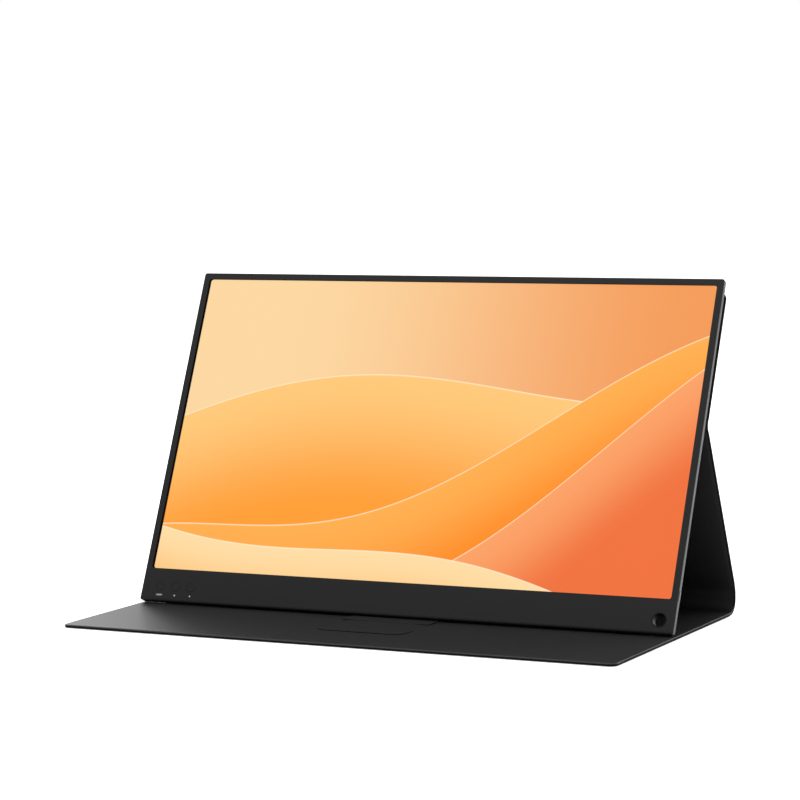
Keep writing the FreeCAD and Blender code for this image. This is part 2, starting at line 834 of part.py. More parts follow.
def electronics():
    """The main board with its ports and screws, the driver board and the flat cables."""
    ports = port_list()
    keep(flat_port("mini_hdmi_port", *ports[0]), "mini_hdmi_port")
    usb = [flat_port(f"usb_c_{index}", *port) for index, port in enumerate(ports[1:], start=1)]
    keep(group("usb_c_ports", usb), "usb_c_ports")

    jack_depth = (jack_middle() - d.jack_height / 2, jack_middle() + d.jack_height / 2)
    jack_high = (jack_rise() - d.jack_width / 2, jack_rise() + d.jack_width / 2)
    inner_face = d.side_wall + d.shell_seam - hump_half
    block = plate("jack_block", (inner_face, inner_face + d.jack_length), jack_depth, jack_high, DISPLAY)
    bore = cross_rod("jack_bore", d.jack_bore_radius,
                     (inner_face - d.overrun, inner_face + d.jack_length - d.port_shell),
                     jack_middle(), jack_rise(), DISPLAY)
    keep(cut("audio_jack", block, bore), "audio_jack")

    blank = plate("board_blank", (board_left, board_right), (board_front, board_back),
                  (board_low, board_high), DISPLAY)
    connectors = []
    for x, z in connector_places():
        connectors.append(plate("flat_connector", (x, x + d.connector_length),
                                (board_front - d.connector_height, board_front),
                                (z, z + d.connector_width), DISPLAY))
    lead_block = plate("lead_connector", lead_block_limits(), (board_back, lead_front() - d.stack_gap),
                       (cable_low, cable_low + d.connector_width), DISPLAY)
    holes = [
        rod("board_hole", d.board_screw_radius + d.head_clearance, x,
            (board_front - d.overrun, board_back + d.overrun), z, DISPLAY)
        for x, z in screw_places
    ]
    filled = fuse("board_filled", [blank, lead_block] + connectors)
    keep(cut("main_board", filled, fuse("board_holes", holes)), "main_board")

    screws = []
    for x, z in screw_places:
        head = rod("board_screw_head", d.board_screw_head_radius, x,
                   (board_front - d.board_screw_head, board_front), z, DISPLAY)
        shank = rod("board_screw_shank", d.board_screw_radius, x,
                    (board_front, board_front + d.board_screw_length), z, DISPLAY)
        screws.append(fuse("board_screw", [head, shank]))
    keep(group("board_screws", screws), "board_screws")

    middle = (board_left + board_right) / 2
    rise = (board_low + board_high) / 2
    lid = board_back + d.shield_height
    can = plate("shield_block", (middle - d.shield_length / 2, middle + d.shield_length / 2),
                (board_back, lid), (rise - d.shield_width / 2, rise + d.shield_width / 2), DISPLAY)
    hollow = plate("shield_hollow",
                   (middle - d.shield_length / 2 + d.shield_wall, middle + d.shield_length / 2 - d.shield_wall),
                   (board_back - d.overrun, lid - d.shield_wall),
                   (rise - d.shield_width / 2 + d.shield_wall, rise + d.shield_width / 2 - d.shield_wall),
                   DISPLAY)
    keep(cut("shield_can", can, hollow), "shield_can")

    driver_left = board_right + d.driver_board_gap
    driver_front = tray_back + d.stack_gap
    driver_back = driver_front + d.board_plate
    driver_right = hump_half - d.side_wall - d.driver_board_inset
    keep(plate("driver_board", (driver_left, driver_right), (driver_front, driver_back),
               (board_low, board_low + d.driver_board_width), DISPLAY), "driver_board")
    flex_front = driver_back + d.stack_gap
    keep(plate("panel_flex", (board_right - d.flex_overlap, driver_left + d.flex_overlap),
               (flex_front, flex_front + d.flex_thickness),
               (cable_low, cable_low + d.flex_width), DISPLAY), "panel_flex")


def connector_places():
    """The lower left corners of the main board's two flat connectors: for the keys and for the power button."""
    keys = (key_board_left + d.key_board_length - d.connector_length, board_low)
    power = (board_right - d.flex_overlap - d.connector_length, power_cable_low() - d.flex_width / 3)
    return (keys, power)


def power_cable_low():
    """The lower edge of the power button's flat cable up the face."""
    return power_high + d.stack_gap


def lead_front():
    """The depth of the speaker leads, which lie on the inside of the thick lower back."""
    return hump_cavity_back - d.stack_gap - d.lead_thickness


def lead_block_limits():
    """The width limits of the main board's connector for the speaker leads."""
    return (board_right - d.lead_block_length, board_right)


def front_keys():
    """Three round keys with their switches, board and flat cable."""
    for name, x in zip(KEY_NAMES, key_places):
        key = Solid(name, DISPLAY)
        key.face_pad(-d.key_proud, d.bezel_depth + d.key_rest_gap,
                     lambda s, x=x: draw_circle(s, x, d.key_rise, d.key_radius))
        key.face_pad(d.bezel_depth + d.key_rest_gap, key_flange_back,
                     lambda s, x=x: draw_circle(s, x, d.key_rise, d.key_radius + d.key_flange))
        key.done()
    half = d.switch_size / 2
    switches = [
        plate("key_switch", (x - half, x + half), (switch_front, switch_back - d.stack_gap),
              (d.key_rise - half, d.key_rise + half), DISPLAY)
        for x in key_places
    ]
    keep(group("key_switches", switches), "key_switches")
    right = key_board_left + d.key_board_length
    keep(plate("key_board", (key_board_left, right), (switch_back, key_board_back),
               (key_board_low, key_board_low + d.key_board_width), DISPLAY), "key_board")
    start = right - (d.connector_length + d.flex_width) / 2
    flex_front = tray_back + d.stack_gap
    keep(plate("key_flex", (start, start + d.flex_width), (flex_front, flex_front + d.flex_thickness),
               (d.key_rise, board_low + d.connector_width), DISPLAY), "key_flex")


def power_control():
    """The bar button in the right wall, its switch on the tray's side and its flat cable."""
    inside = half_width - d.side_wall
    button = Solid("power_button", DISPLAY)
    flange = d.power_clearance + d.power_flange
    neck = inside - d.power_clearance
    button.side_pad(neck - d.power_flange_thickness, neck, lambda s: draw_box(
        s, (power_front - flange, power_back + flange), (power_low - flange, power_high + flange)))
    button.side_pad(neck, half_width + d.power_proud, lambda s: draw_box(
        s, (power_front, power_back), (power_low, power_high)))
    button.done()
    switch_left = tray_half + d.stack_gap
    switch_right = switch_left + d.power_switch_thickness
    keep(plate("power_switch", (switch_left, switch_right), (power_front, tray_back),
               (power_low, power_high), DISPLAY), "power_switch")
    front = tray_back + d.stack_gap
    depth = (front, front + d.flex_thickness)
    low = power_cable_low()
    end = connector_places()[1][0]
    run = plate("power_cable_run", (end, switch_right), depth, (low, low + d.flex_width), DISPLAY)
    tail = plate("power_cable_tail", (switch_left - d.flex_width, switch_right), depth, (power_low, low), DISPLAY)
    keep(fuse("power_flex", [run, tail]), "power_flex")


def speakers():
    """Two flat speakers on the inside of the thick lower back, with their leads."""
    back = hump_cavity_back - d.stack_gap
    front = back - d.speaker_height
    middle = (speaker_low + speaker_high) / 2
    for name, side in (("left_speaker", -1), ("right_speaker", 1)):
        x = side * speaker_middle
        box = plate(f"{name}_box", (x - d.speaker_length / 2, x + d.speaker_length / 2),
                    (front, back), (speaker_low, speaker_high), DISPLAY)
        cone = rod(f"{name}_cone", d.speaker_cone_radius, x, (front - d.speaker_cone_height, front), middle, DISPLAY)
        keep(fuse(name, [box, cone]), name)
    depth = (lead_front(), lead_front() + d.lead_thickness)
    high = (cable_low, cable_low + d.lead_width)
    block = lead_block_limits()
    leads = []
    for side, far_limit in ((-1, block[0]), (1, block[1])):
        x = side * speaker_middle
        run = (x, far_limit) if side < 0 else (far_limit, x)
        along = plate("lead_run", run, depth, high, DISPLAY)
        tail = plate("lead_tail", (x - d.lead_width / 2, x + d.lead_width / 2), depth,
                     (speaker_high + d.stack_gap, high[1]), DISPLAY)
        tip = plate("lead_tip", (block[0], block[0] + d.lead_width) if side < 0
                    else (block[1] - d.lead_width, block[1]), depth, high, DISPLAY)
        leads.append(fuse("speaker_lead", [along, tail, tip]))
    keep(group("speaker_leads", leads), "speaker_leads")


def fixings():
    """The case screws, the pen hole's sleeve and the steel strip in the foot."""
    screws = []
    for x in boss_places:
        seat = d.hump_depth - d.case_screw_head
        head = rod("case_screw_head_disc", d.case_screw_head_radius, x, (seat, d.hump_depth), d.boss_rise, DISPLAY)
        shank = rod("case_screw_shank", d.case_screw_radius, x, (seat - d.case_screw_length, seat),
                    d.boss_rise, DISPLAY)
        socket = doc.addObject("Part::Prism", "case_screw_socket")
        socket.Polygon = HEX_SIDES
        bind(socket, "Circumradius", d.hex_radius)
        bind(socket, "Height", d.case_screw_head + d.overrun)
        start = Vector(x.value, seat.value, d.boss_rise.value)
        socket.Placement = DISPLAY.multiply(
            FreeCAD.Placement(start, FreeCAD.Rotation(Vector(1, 0, 0), -90)))
        screws.append(cut("case_screw", fuse("case_screw_blank", [head, shank]), socket))
    keep(group("case_screws", screws), "case_screws")

    sleeve = Solid("pen_sleeve", DISPLAY)

    def ring(sketch):
        draw_circle(sketch, pen_place, d.pen_hole_rise, sleeve_radius)
        draw_circle(sketch, pen_place, d.pen_hole_rise, d.pen_bore_radius)

    sleeve.face_pad(0, d.edge_depth, ring)
    sleeve.done()

    half = d.keeper_length / 2
    middle = (cavity_back + hump_cavity_back) / 2
    low = hump_floor + d.stack_gap
    keep(plate("foot_keeper", (-half, half), (middle - d.keeper_width / 2, middle + d.keeper_width / 2),
               (low, low + d.keeper_thickness), DISPLAY), "foot_keeper")


def cover_panel(name, frame, low, high, rounded_end, corner_radius):
    """One stiff panel of the cover: an outside skin with a raised rim, a board in it and a lining over both."""
    across = (-cover_half, cover_half)
    rim_height = d.skin_thickness + d.board_thickness
    corners = is_corner("z", ("x", across), ("y", (rounded_end,))) if rounded_end is not None else None
    skin = Solid(f"{name}_skin", frame)
    skin.flat_pad(0, rim_height, lambda s: draw_box(s, across, (low, high)))
    if corners:
        skin.round_edges(corners, corner_radius)
    inset = d.board_margin
    skin.flat_cut(d.skin_thickness, rim_height + d.overrun, lambda s: draw_box(
        s, (inset - cover_half, cover_half - inset), (low + inset, high - inset)))
    skin.round_edges(rim_of_face(skin.body.Tip.Shape, "z", 0), d.panel_edge_radius)
    skin.done()
    lining = Solid(f"{name}_lining", frame)
    lining.flat_pad(rim_height, cover_thickness, lambda s: draw_box(s, across, (low, high)))
    if corners:
        lining.round_edges(corners, corner_radius)
    lining.round_edges(rim_of_face(lining.body.Tip.Shape, "z", cover_thickness), d.panel_edge_radius)
    lining.done()


def panel_board(name, frame, low, high):
    """The stiff board in a panel's skin, as a plain plate."""
    inset = d.board_margin + d.board_clearance
    return plate(name, (inset - cover_half, cover_half - inset), (low + inset, high - inset),
                 (d.skin_thickness, d.skin_thickness + d.board_thickness), frame)


def fold_strip(name, hinge, toward_first, toward_second, reach, outside_convex):
    """A soft strip of skin and lining, bent in an arc between the ends of two panels.

    The arc touches both panels' middle planes at the reach from the hinge point, so its radius is the
    reach over the tangent of half the turn. The strip keeps to the panels' outside faces.
    """
    first = Vector(0, *toward_first).normalize()
    second = Vector(0, *toward_second).normalize()
    turn = math.pi - first.getAngle(second)
    radius = reach.value / math.tan(turn / 2)
    inward = (first + second).normalize()
    point = Vector(-cover_half.value, *hinge)
    centre = point + inward * (reach.value / math.sin(turn / 2))
    side = 1 if outside_convex else -1
    outside = radius + side * cover_thickness.value / 2
    inside = outside - side * strip_thickness.value
    start = (point + first * reach.value - centre).normalize()
    end = (point + second * reach.value - centre).normalize()
    middle = inward * -1

    def arc(size, order):
        return Part.Arc(*[centre + direction * size for direction in order]).toShape()

    outer = arc(outside, (start, middle, end))
    inner = arc(inside, (end, middle, start))
    sides = [
        Part.makeLine(centre + end * outside, centre + end * inside),
        Part.makeLine(centre + start * inside, centre + start * outside),
    ]
    section = Part.Face(Part.Wire([outer, sides[0], inner, sides[1]]))
    strip = doc.addObject("Part::Feature", name)
    strip.Shape = section.extrude(Vector(cover_width.value, 0, 0))
    return keep(strip, name)


def cover():
    """The folding cover, from the panel behind the display down to the base on the table."""
    attach_low = d.top_fold_reach
    attach_high = display_height - d.attach_drop - d.fold_height
    cover_panel("attach", ATTACH, attach_low, attach_high, attach_high, d.attach_corner_radius)
    keep(panel_board("attach_board", ATTACH, attach_low, attach_high), "attach_board")
    tape_z = (cover_thickness, cover_thickness + d.attach_tape_thickness)
    margin = d.attach_tape_margin
    tape_x = (margin - cover_half, cover_half - margin)
    strips = [
        plate("attach_tape_strip", tape_x, limits, tape_z, ATTACH)
        for limits in (
            (attach_low + margin, attach_low + margin + d.attach_tape_width),
            (attach_high - margin - d.attach_tape_width, attach_high - margin),
        )
    ]
    keep(group("attach_tape", strips), "attach_tape")

    strut_low = d.lower_fold_reach
    strut_high = strut_length - d.top_fold_reach
    cover_panel("strut", STRUT, strut_low, strut_high, None, None)
    keep(panel_board("strut_board", STRUT, strut_low, strut_high), "strut_board")

    spine_limits = (d.rear_fold_reach, d.spine_height - d.lower_fold_reach)
    across = (-cover_half, cover_half)
    layers = (("spine_skin", 0, d.skin_thickness), ("spine_lining", d.skin_thickness, strip_thickness))
    for name, low, high in layers:
        keep(plate(name, across, spine_limits, (low, high), SPINE), name)

    base_front = Size(str(link.front_y), link.front_y)
    base_rear = Size(str(link.rear[0]), link.rear[0]) - d.rear_fold_reach
    cover_panel("base", ROW, base_front, base_rear, base_front, d.base_corner_radius)
    magnets()
    board = panel_board("base_board_blank", ROW, base_front, base_rear)
    wells = [magnet_box("magnet_well", side, d.magnet_clearance) for side in (-1, 1)]
    keep(cut("base_board", board, fuse("magnet_wells", wells)), "base_board")

    down_strut = (link.lower[0] - link.fold[0], link.lower[1] - link.fold[1])
    up_strut = (-down_strut[0], -down_strut[1])
    lean = math.radians(d.tilt.value)
    up_display = (math.sin(lean), math.cos(lean))
    fold_strip("top_fold", link.fold, up_display, down_strut, d.top_fold_reach, False)
    fold_strip("lower_fold", link.lower, (0, -1), up_strut, d.lower_fold_reach, True)
    fold_strip("rear_fold", link.rear, (-1, 0), (0, 1), d.rear_fold_reach, True)


def magnet_box(name, side, clearance):
    """The space of one bar magnet in the base, under the display's foot, with room round it."""
    room = as_size(clearance)
    middle = side * d.magnet_spacing / 2
    foot_y = Size(str(link.foot[0]), link.foot[0])
    across = (middle - d.magnet_length / 2 - room, middle + d.magnet_length / 2 + room)
    along = (foot_y + d.magnet_setback - room, foot_y + d.magnet_setback + d.magnet_width + room)
    return plate(name, across, along, (d.skin_thickness, d.skin_thickness + d.board_thickness), ROW)


def magnets():
    """Two bar magnets in the base board."""
    keep(group("foot_magnets", [magnet_box("foot_magnet", side, 0) for side in (-1, 1)]), "foot_magnets")


def stop():
    """The thin patch on the base and the raised lip that keeps the foot from sliding forward."""
    foot_y = Size(str(link.foot[0]), link.foot[0])
    left = -d.stop_width / 2
    right = d.stop_width / 2
    pad_front = foot_y - d.stop_pad_reach
    lip_front = foot_y - d.stop_lip_front
    lip_rear = foot_y + d.stop_lip_rear
    pad = Solid("stop_pad", ROW)
    pad.flat_pad(cover_thickness, cover_thickness + d.stop_pad_thickness,
                 lambda s: draw_box(s, (left, right), (pad_front, lip_front)))
    pad.round_edges(is_corner("z", ("x", (left, right)), ("y", (pad_front,))), d.stop_pad_corner_radius)
    pad.done()
    lip = Solid("stop_lip", ROW)
    top = cover_thickness + d.stop_lip_height
    lip.side_pad(left, right, lambda s: draw_outline(s, [
        (lip_front, cover_thickness),
        (lip_rear, cover_thickness),
        (lip_rear, top),
        (lip_front + d.stop_lip_slope, top),
        (lip_front, cover_thickness + d.stop_lip_nose),
    ]))
    lip.done()


def check_and_write():
    """Stops if anything failed, else writes each piece to its file."""
    doc.recompute()
    for item in doc.Objects:
        if "Invalid" in item.State or "Error" in item.State:
            raise ValueError(f"{item.Name} is {item.State}")
    for item in pieces:
        if item.Shape.isNull() or not item.Shape.isValid():
            raise ValueError(f"{item.Label} has no valid shape")
    os.makedirs("parts", exist_ok=True)
    for item in pieces:
        item.Shape.exportStep(f"parts/{item.Label}.step")
    print(f"{len(pieces)} pieces")
    print("foot", link.foot, "fold", link.fold, "lower", link.lower, "rear", link.rear)
    print("front", link.front_y, "strut angle", link.strut_angle)


front_bezel()
rear_cover()
display_stack()
electronics()
front_keys()
power_control()
speakers()
fixings()
cover()
stop()
check_and_write()
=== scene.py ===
"""Looks of a portable monitor that stands in its folding cover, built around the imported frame."""
import json
import logging
import math
from dataclasses import dataclass, field
from enum import Enum
from typing import Any, Callable, Sequence

import bmesh
import bpy
import numpy as np
from mathutils import Matrix, Vector


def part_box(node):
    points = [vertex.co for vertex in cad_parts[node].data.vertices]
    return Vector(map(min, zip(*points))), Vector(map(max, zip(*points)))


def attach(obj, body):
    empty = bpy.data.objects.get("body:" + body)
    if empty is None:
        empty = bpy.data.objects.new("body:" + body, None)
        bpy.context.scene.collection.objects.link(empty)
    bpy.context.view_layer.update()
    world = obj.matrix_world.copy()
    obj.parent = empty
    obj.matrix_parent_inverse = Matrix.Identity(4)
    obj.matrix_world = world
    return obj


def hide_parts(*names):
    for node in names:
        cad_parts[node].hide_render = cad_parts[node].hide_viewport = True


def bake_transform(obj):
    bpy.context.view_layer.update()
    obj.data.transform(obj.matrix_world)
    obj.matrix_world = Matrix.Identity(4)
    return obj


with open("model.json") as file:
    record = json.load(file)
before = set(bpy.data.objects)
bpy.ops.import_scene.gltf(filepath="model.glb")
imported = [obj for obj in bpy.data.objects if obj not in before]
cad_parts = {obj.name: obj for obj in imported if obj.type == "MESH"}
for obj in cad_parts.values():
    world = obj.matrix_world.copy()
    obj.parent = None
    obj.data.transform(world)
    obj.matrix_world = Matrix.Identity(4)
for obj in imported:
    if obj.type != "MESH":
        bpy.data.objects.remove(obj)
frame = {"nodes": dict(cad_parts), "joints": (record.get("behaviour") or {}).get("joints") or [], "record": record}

LOG = logging.getLogger("portable_monitor")
MM = 0.001
QUARTER_TURN = math.pi / 2
HALF_TURN = math.pi
FULL_TURN = 2.0 * math.pi
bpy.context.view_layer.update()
# The map of a piece laid flat, in millimetres.
FLAT_MAP = "flat_mm"
# Points that lie closer than this are merged.
MERGE_DISTANCE = 1e-8
# Rows are rounded to this many digits, and of rows closer than this step one stays.
ROW_DIGITS = 8
LEAST_ROW_STEP = 2e-6
# Lengths below these count as nothing.
HAIR = 1e-9
LEAST_LENGTH = 1e-12
# Edges that turn by more than this stay sharp.
SHARP_DEGREES = 38.0

Carry = Callable[[np.ndarray], np.ndarray]
Height = Callable[[np.ndarray, np.ndarray], np.ndarray]


class Body(str, Enum):
    """The rigid bodies of the frame, some of which new pieces ride on."""

    BASE = "base"
    SPINE = "spine"
    STRUT = "strut"
    MONITOR = "monitor"
    POWER = "power_button"


class Joint(str, Enum):
    """The joints whose places the scene reads."""

    REAR = "cover_swing"
    LOWER = "strut_lean"
    TOP = "stand_fold"
    KEY = "menu_key_press"


# Readings from the frame


def joint_facts(joint: Joint) -> dict[str, Any]:
    """A joint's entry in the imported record."""
    return next(item for item in frame["joints"] if item["name"] == joint.value)


def hinge_point(joint: Joint) -> np.ndarray:
    """The (y, z) place of a hinge that runs along X, in metres."""
    return np.array(joint_facts(joint)["pos_m"][1:], float)


# Surfaces


@dataclass
class Surface:
    """A mesh in arrays: points, four-sided faces, a flat map in millimetres and a finish number per face."""

    points: np.ndarray
    quads: np.ndarray
    uv: np.ndarray
    finish: np.ndarray

    def placed(self, place: Carry) -> "Surface":
        """The same surface with its points carried by a function of the whole array."""
        return Surface(place(self.points), self.quads, self.uv, self.finish)


def join(surfaces: Sequence[Surface]) -> Surface:
    """Puts several surfaces into one.

    Args:
        surfaces: the surfaces, each with its own numbering.

    Returns:
        One surface that holds them all.
    """
    starts = np.cumsum([0] + [len(item.points) for item in surfaces[:-1]])
    return Surface(
        np.concatenate([item.points for item in surfaces]),
        np.concatenate([item.quads + start for item, start in zip(surfaces, starts)]),
        np.concatenate([item.uv for item in surfaces]),
        np.concatenate([item.finish for item in surfaces]),
    )


def grid_quads(numbers: np.ndarray) -> np.ndarray:
    """The faces between neighbouring rows and columns of a table of point numbers.

    Args:
        numbers: point numbers, rows by columns. A closed direction repeats its first row or column.

    Returns:
        One row of four point numbers per face.
    """
    low, high = numbers[:-1], numbers[1:]
    return np.stack([low[:, :-1], low[:, 1:], high[:, 1:], high[:, :-1]], axis=-1).reshape(-1, 4)


def smooth(low: float, high: float, value: np.ndarray) -> np.ndarray:
    """The smooth step t*t*(3 - 2t) of a value between two limits."""
    t = np.clip((value - low) / (high - low), 0.0, 1.0)
    return t * t * (3.0 - 2.0 * t)


def new_piece(name: str, surface: Surface, materials: Sequence[bpy.types.Material]) -> bpy.types.Object:
    """Puts a surface into an object at the origin, with closed poles and faces that point outwards.

    Args:
        name: the piece's name.
        surface: its mesh, in the row frame, in metres.
        materials: the finishes that the surface's finish numbers stand for.

    Returns:
        The new object, which rides on nothing yet.
    """
    mesh = bpy.data.meshes.new(name)
    mesh.from_pydata(surface.points.tolist(), [], surface.quads.tolist())
    layer = mesh.uv_layers.new(name=FLAT_MAP)
    corner = np.zeros(len(mesh.loops), np.int32)
    mesh.loops.foreach_get("vertex_index", corner)
    layer.data.foreach_set("uv", surface.uv[corner].astype(np.float32).ravel())
    mesh.polygons.foreach_set("material_index", surface.finish.astype(np.int32))
    for material in materials:
        mesh.materials.append(material)
    edit = bmesh.new()
    edit.from_mesh(mesh)
    bmesh.ops.remove_doubles(edit, verts=edit.verts, dist=MERGE_DISTANCE)
    bmesh.ops.recalc_face_normals(edit, faces=edit.faces)
    edit.to_mesh(mesh)
    edit.free()
    mesh.polygons.foreach_set("use_smooth", np.ones(len(mesh.polygons), bool))
    mesh.set_sharp_from_angle(angle=math.radians(SHARP_DEGREES))
    piece = bpy.data.objects.new(name, mesh)
    bpy.context.scene.collection.objects.link(piece)
    LOG.info("%s: %d points, %d faces", name, len(mesh.vertices), len(mesh.polygons))
    return piece


@dataclass
class PlateEnd:
    """One end of a plate: -1 or 1 for the way out, whether it is free, its place and its corners' radius."""

    side: int
    free: bool
    place: float
    corner: float


@dataclass
class Slab:
    """A flat plate with rounded corners and edges, in its own (x, s, n): across, along and up.

    Its two faces are grids of rows s and columns x whose heights are functions of (x, s). The rim stands
    out from the grids' outline by the edge radius: it runs on level, turns down by a quarter circle, drops
    straight, turns in by a second quarter circle and runs back level. The two circles have the edge radius
    unless theirs is given, and half the thickness at most. An end that isn't free is cut square. Finish
    numbers go to the top, the bottom and the rim's two halves; past the switch the whole rim has the lower
    half's.
    """

    half_width: float
    start: float
    end: float
    top: Height
    bottom: Height
    edge_radius: float
    start_corner: float = 0.0
    end_corner: float = 0.0
    start_free: bool = True
    end_free: bool = True
    rows: Sequence[float] = ()
    columns: Sequence[float] = ()
    least_columns: int = 5
    rim_steps: int = 8
    corner_steps: int = 12
    finishes: tuple[int, int, int, int] = (0, 0, 0, 0)
    upper_radius: Carry | None = None
    lower_radius: float | None = None
    rim_switch: float = math.inf

    def ends(self) -> tuple[PlateEnd, PlateEnd]:
        """The plate's two ends, from its start."""
        return (PlateEnd(-1, self.start_free, self.start, self.start_corner),
                PlateEnd(1, self.end_free, self.end, self.end_corner))

    def edge_distance(self, x: np.ndarray, s: np.ndarray) -> np.ndarray:
        """How far points lie inside the plate's outline, in a corner along the radius of its circle.

        Args:
            x: places across.
            s: places along.

        Returns:
            Distances from the nearest free edge or rounded corner.
        """
        inside = self.half_width - np.abs(x)
        for end in self.ends():
            if not end.free:
                continue
            depth = end.side * (end.place - s)
            over_x = np.abs(x) - (self.half_width - end.corner)
            over_s = end.corner - depth
            in_corner = (over_x > 0) & (over_s > 0)
            rounded = end.corner - np.hypot(over_x, over_s)
            inside = np.where(in_corner, rounded, np.minimum(inside, depth))
        return inside

    def _row_places(self) -> np.ndarray:
        """The places of the rows: arcs of the corners by equal angles, then the given rows between the ends.

        Returns:
            Places along, in rising order.
        """
        turn = 1.0 - np.cos(np.linspace(0.0, QUARTER_TURN, self.corner_steps + 1))
        limits, arcs = [], []
        for end in self.ends():
            limits.append(end.place - end.side * (self.edge_radius if end.free else 0.0))
            radius = end.corner - self.edge_radius
            if end.free and radius > 0:
                arcs.append(limits[-1] - end.side * turn * radius)
        given = np.asarray(self.rows, float)
        between = given[(given > limits[0]) & (given < limits[1])]
        merged = np.unique(np.round(np.concatenate([np.array(limits), *arcs, between]), ROW_DIGITS))
        keep = np.concatenate([[True], np.diff(merged) > LEAST_ROW_STEP])
        keep[-1] = True
        return merged[keep]

    def _half_widths(self, s: np.ndarray) -> np.ndarray:
        """Half the grid's width at each row: the corner's circle near a free end, else the plate's own.

        Args:
            s: the rows' places along.

        Returns:
            One half width per row.
        """
        width = np.full(s.shape, self.half_width - self.edge_radius)
        for end in self.ends():
            radius = end.corner - self.edge_radius
            if not end.free or radius <= 0:
                continue
            depth = end.side * (end.place - s) - self.edge_radius
            fall = np.clip(radius - depth, 0.0, radius)
            arc = self.half_width - end.corner + np.sqrt(np.maximum(radius ** 2 - fall ** 2, 0.0))
            width = np.minimum(width, arc)
        return width

    def _outward(self, x: np.ndarray, s: np.ndarray, on_end: np.ndarray) -> np.ndarray:
        """The outline's outward directions at the points of the grid's border.

        Args:
            x: places across.
            s: places along.
            on_end: -1 for points inside the first row, 1 for those inside the last, else 0.

        Returns:
            One (x, s) direction per point; zero along an end that is cut square.
        """
        out = np.stack([np.sign(x), np.zeros_like(s)], axis=-1)
        for end in self.ends():
            flat = np.array([0.0, float(end.side)]) if end.free else np.zeros(2)
            out = np.where((on_end == end.side)[:, None], flat, out)
            if not end.free or end.corner <= self.edge_radius:
                continue
            over_x = np.abs(x) - (self.half_width - end.corner)
            over_s = s - (end.place - end.side * end.corner)
            bend = (over_s * end.side > 0) & (over_x > -HAIR) & (on_end == 0)
            away = np.stack([np.sign(x) * np.maximum(over_x, 0.0), over_s], axis=-1)
            length = np.maximum(np.linalg.norm(away, axis=1, keepdims=True), LEAST_LENGTH)
            out = np.where(bend[:, None], away / length, out)
        return out

    def _rim(self, border: np.ndarray, out: np.ndarray, upper: np.ndarray, lower: np.ndarray) -> np.ndarray:
        """The rim's rings: a quarter circle down from the top, then one in towards the bottom.

        Args:
            border: the (x, s) places of the grids' border.
            out: the outward direction at each.
            upper: the top's height at each.
            lower: the bottom's height at each.

        Returns:
            Points (x, s, n), rings by border points.
        """
        reach, room = self.edge_radius, (upper - lower) / 2
        over = np.minimum(room, reach if self.upper_radius is None else self.upper_radius(border[:, 1]))
        under = np.minimum(room, reach if self.lower_radius is None else self.lower_radius)
        turn = np.linspace(0.0, QUARTER_TURN, self.rim_steps // 2 + 1)[:, None]
        outward = np.concatenate([reach - over * (1.0 - np.sin(turn)), reach - under * (1.0 - np.cos(turn))])
        heights = np.concatenate([upper - over * (1.0 - np.cos(turn)), lower + under * (1.0 - np.sin(turn))])
        flat = border[None, :, :] + out[None, :, :] * outward[:, :, None]
        return np.concatenate([flat, heights[:, :, None]], axis=-1)

    def surface(self) -> Surface:
        """The plate's two faces and its rim.

        Returns:
            One closed surface in (x, s, n).
        """
        s = self._row_places()
        widths = self._half_widths(s)
        shares = [np.linspace(-1.0, 1.0, self.least_columns), np.asarray(self.columns, float)]
        across = np.unique(np.concatenate(shares))
        x = widths[:, None] * across[None, :]
        along = np.repeat(s[:, None], across.size, axis=1)
        faces = [self.top(x, along), self.bottom(x, along)]
        rows, columns = x.shape
        count = rows * columns
        numbers = np.arange(count).reshape(rows, columns)
        loop = np.concatenate([numbers[0, :-1], numbers[:-1, -1], numbers[-1, :0:-1], numbers[:0:-1, 0]])
        on_end = np.concatenate([
            np.concatenate([[0], np.full(columns - 2, side), np.zeros(rows - 1)]) for side in (-1, 1)])
        border = np.stack([x.ravel()[loop], along.ravel()[loop]], axis=-1)
        out = self._outward(border[:, 0], border[:, 1], on_end)
        upper, lower = (face.ravel()[loop][None, :] for face in faces)
        rings = self._rim(border, out, upper, lower)
        sheets = [np.stack([x, along, face], axis=-1).reshape(-1, 3) for face in faces]
        points = np.concatenate(sheets + [rings.reshape(-1, 3)])
        ring_numbers = 2 * count + np.arange(len(rings) * loop.size).reshape(len(rings), loop.size)
        strips = np.concatenate([loop[None, :], ring_numbers, loop[None, :] + count])
        strips = np.concatenate([strips, strips[:, :1]], axis=1)
        face_quads = grid_quads(numbers)
        quads = np.concatenate([face_quads, (face_quads + count)[:, ::-1], grid_quads(strips)[:, ::-1]])
        upper_half = np.arange(len(rings) + 1) < len(rings) // 2
        upper_rim = upper_half[:, None] & (border[:, 1] < self.rim_switch)[None, :]
        finish = np.concatenate([
            np.repeat(self.finishes[:2], len(face_quads)),
            np.where(upper_rim, self.finishes[2], self.finishes[3]).ravel(),
        ])
        uv = np.stack([points[:, 0], points[:, 1] + points[:, 2]], axis=-1) / MM
        return Surface(points, quads, uv, finish)


def flat_height(value: float) -> Height:
    """A height function that is the same all over."""
    return lambda x, s: np.full(np.shape(x), value)


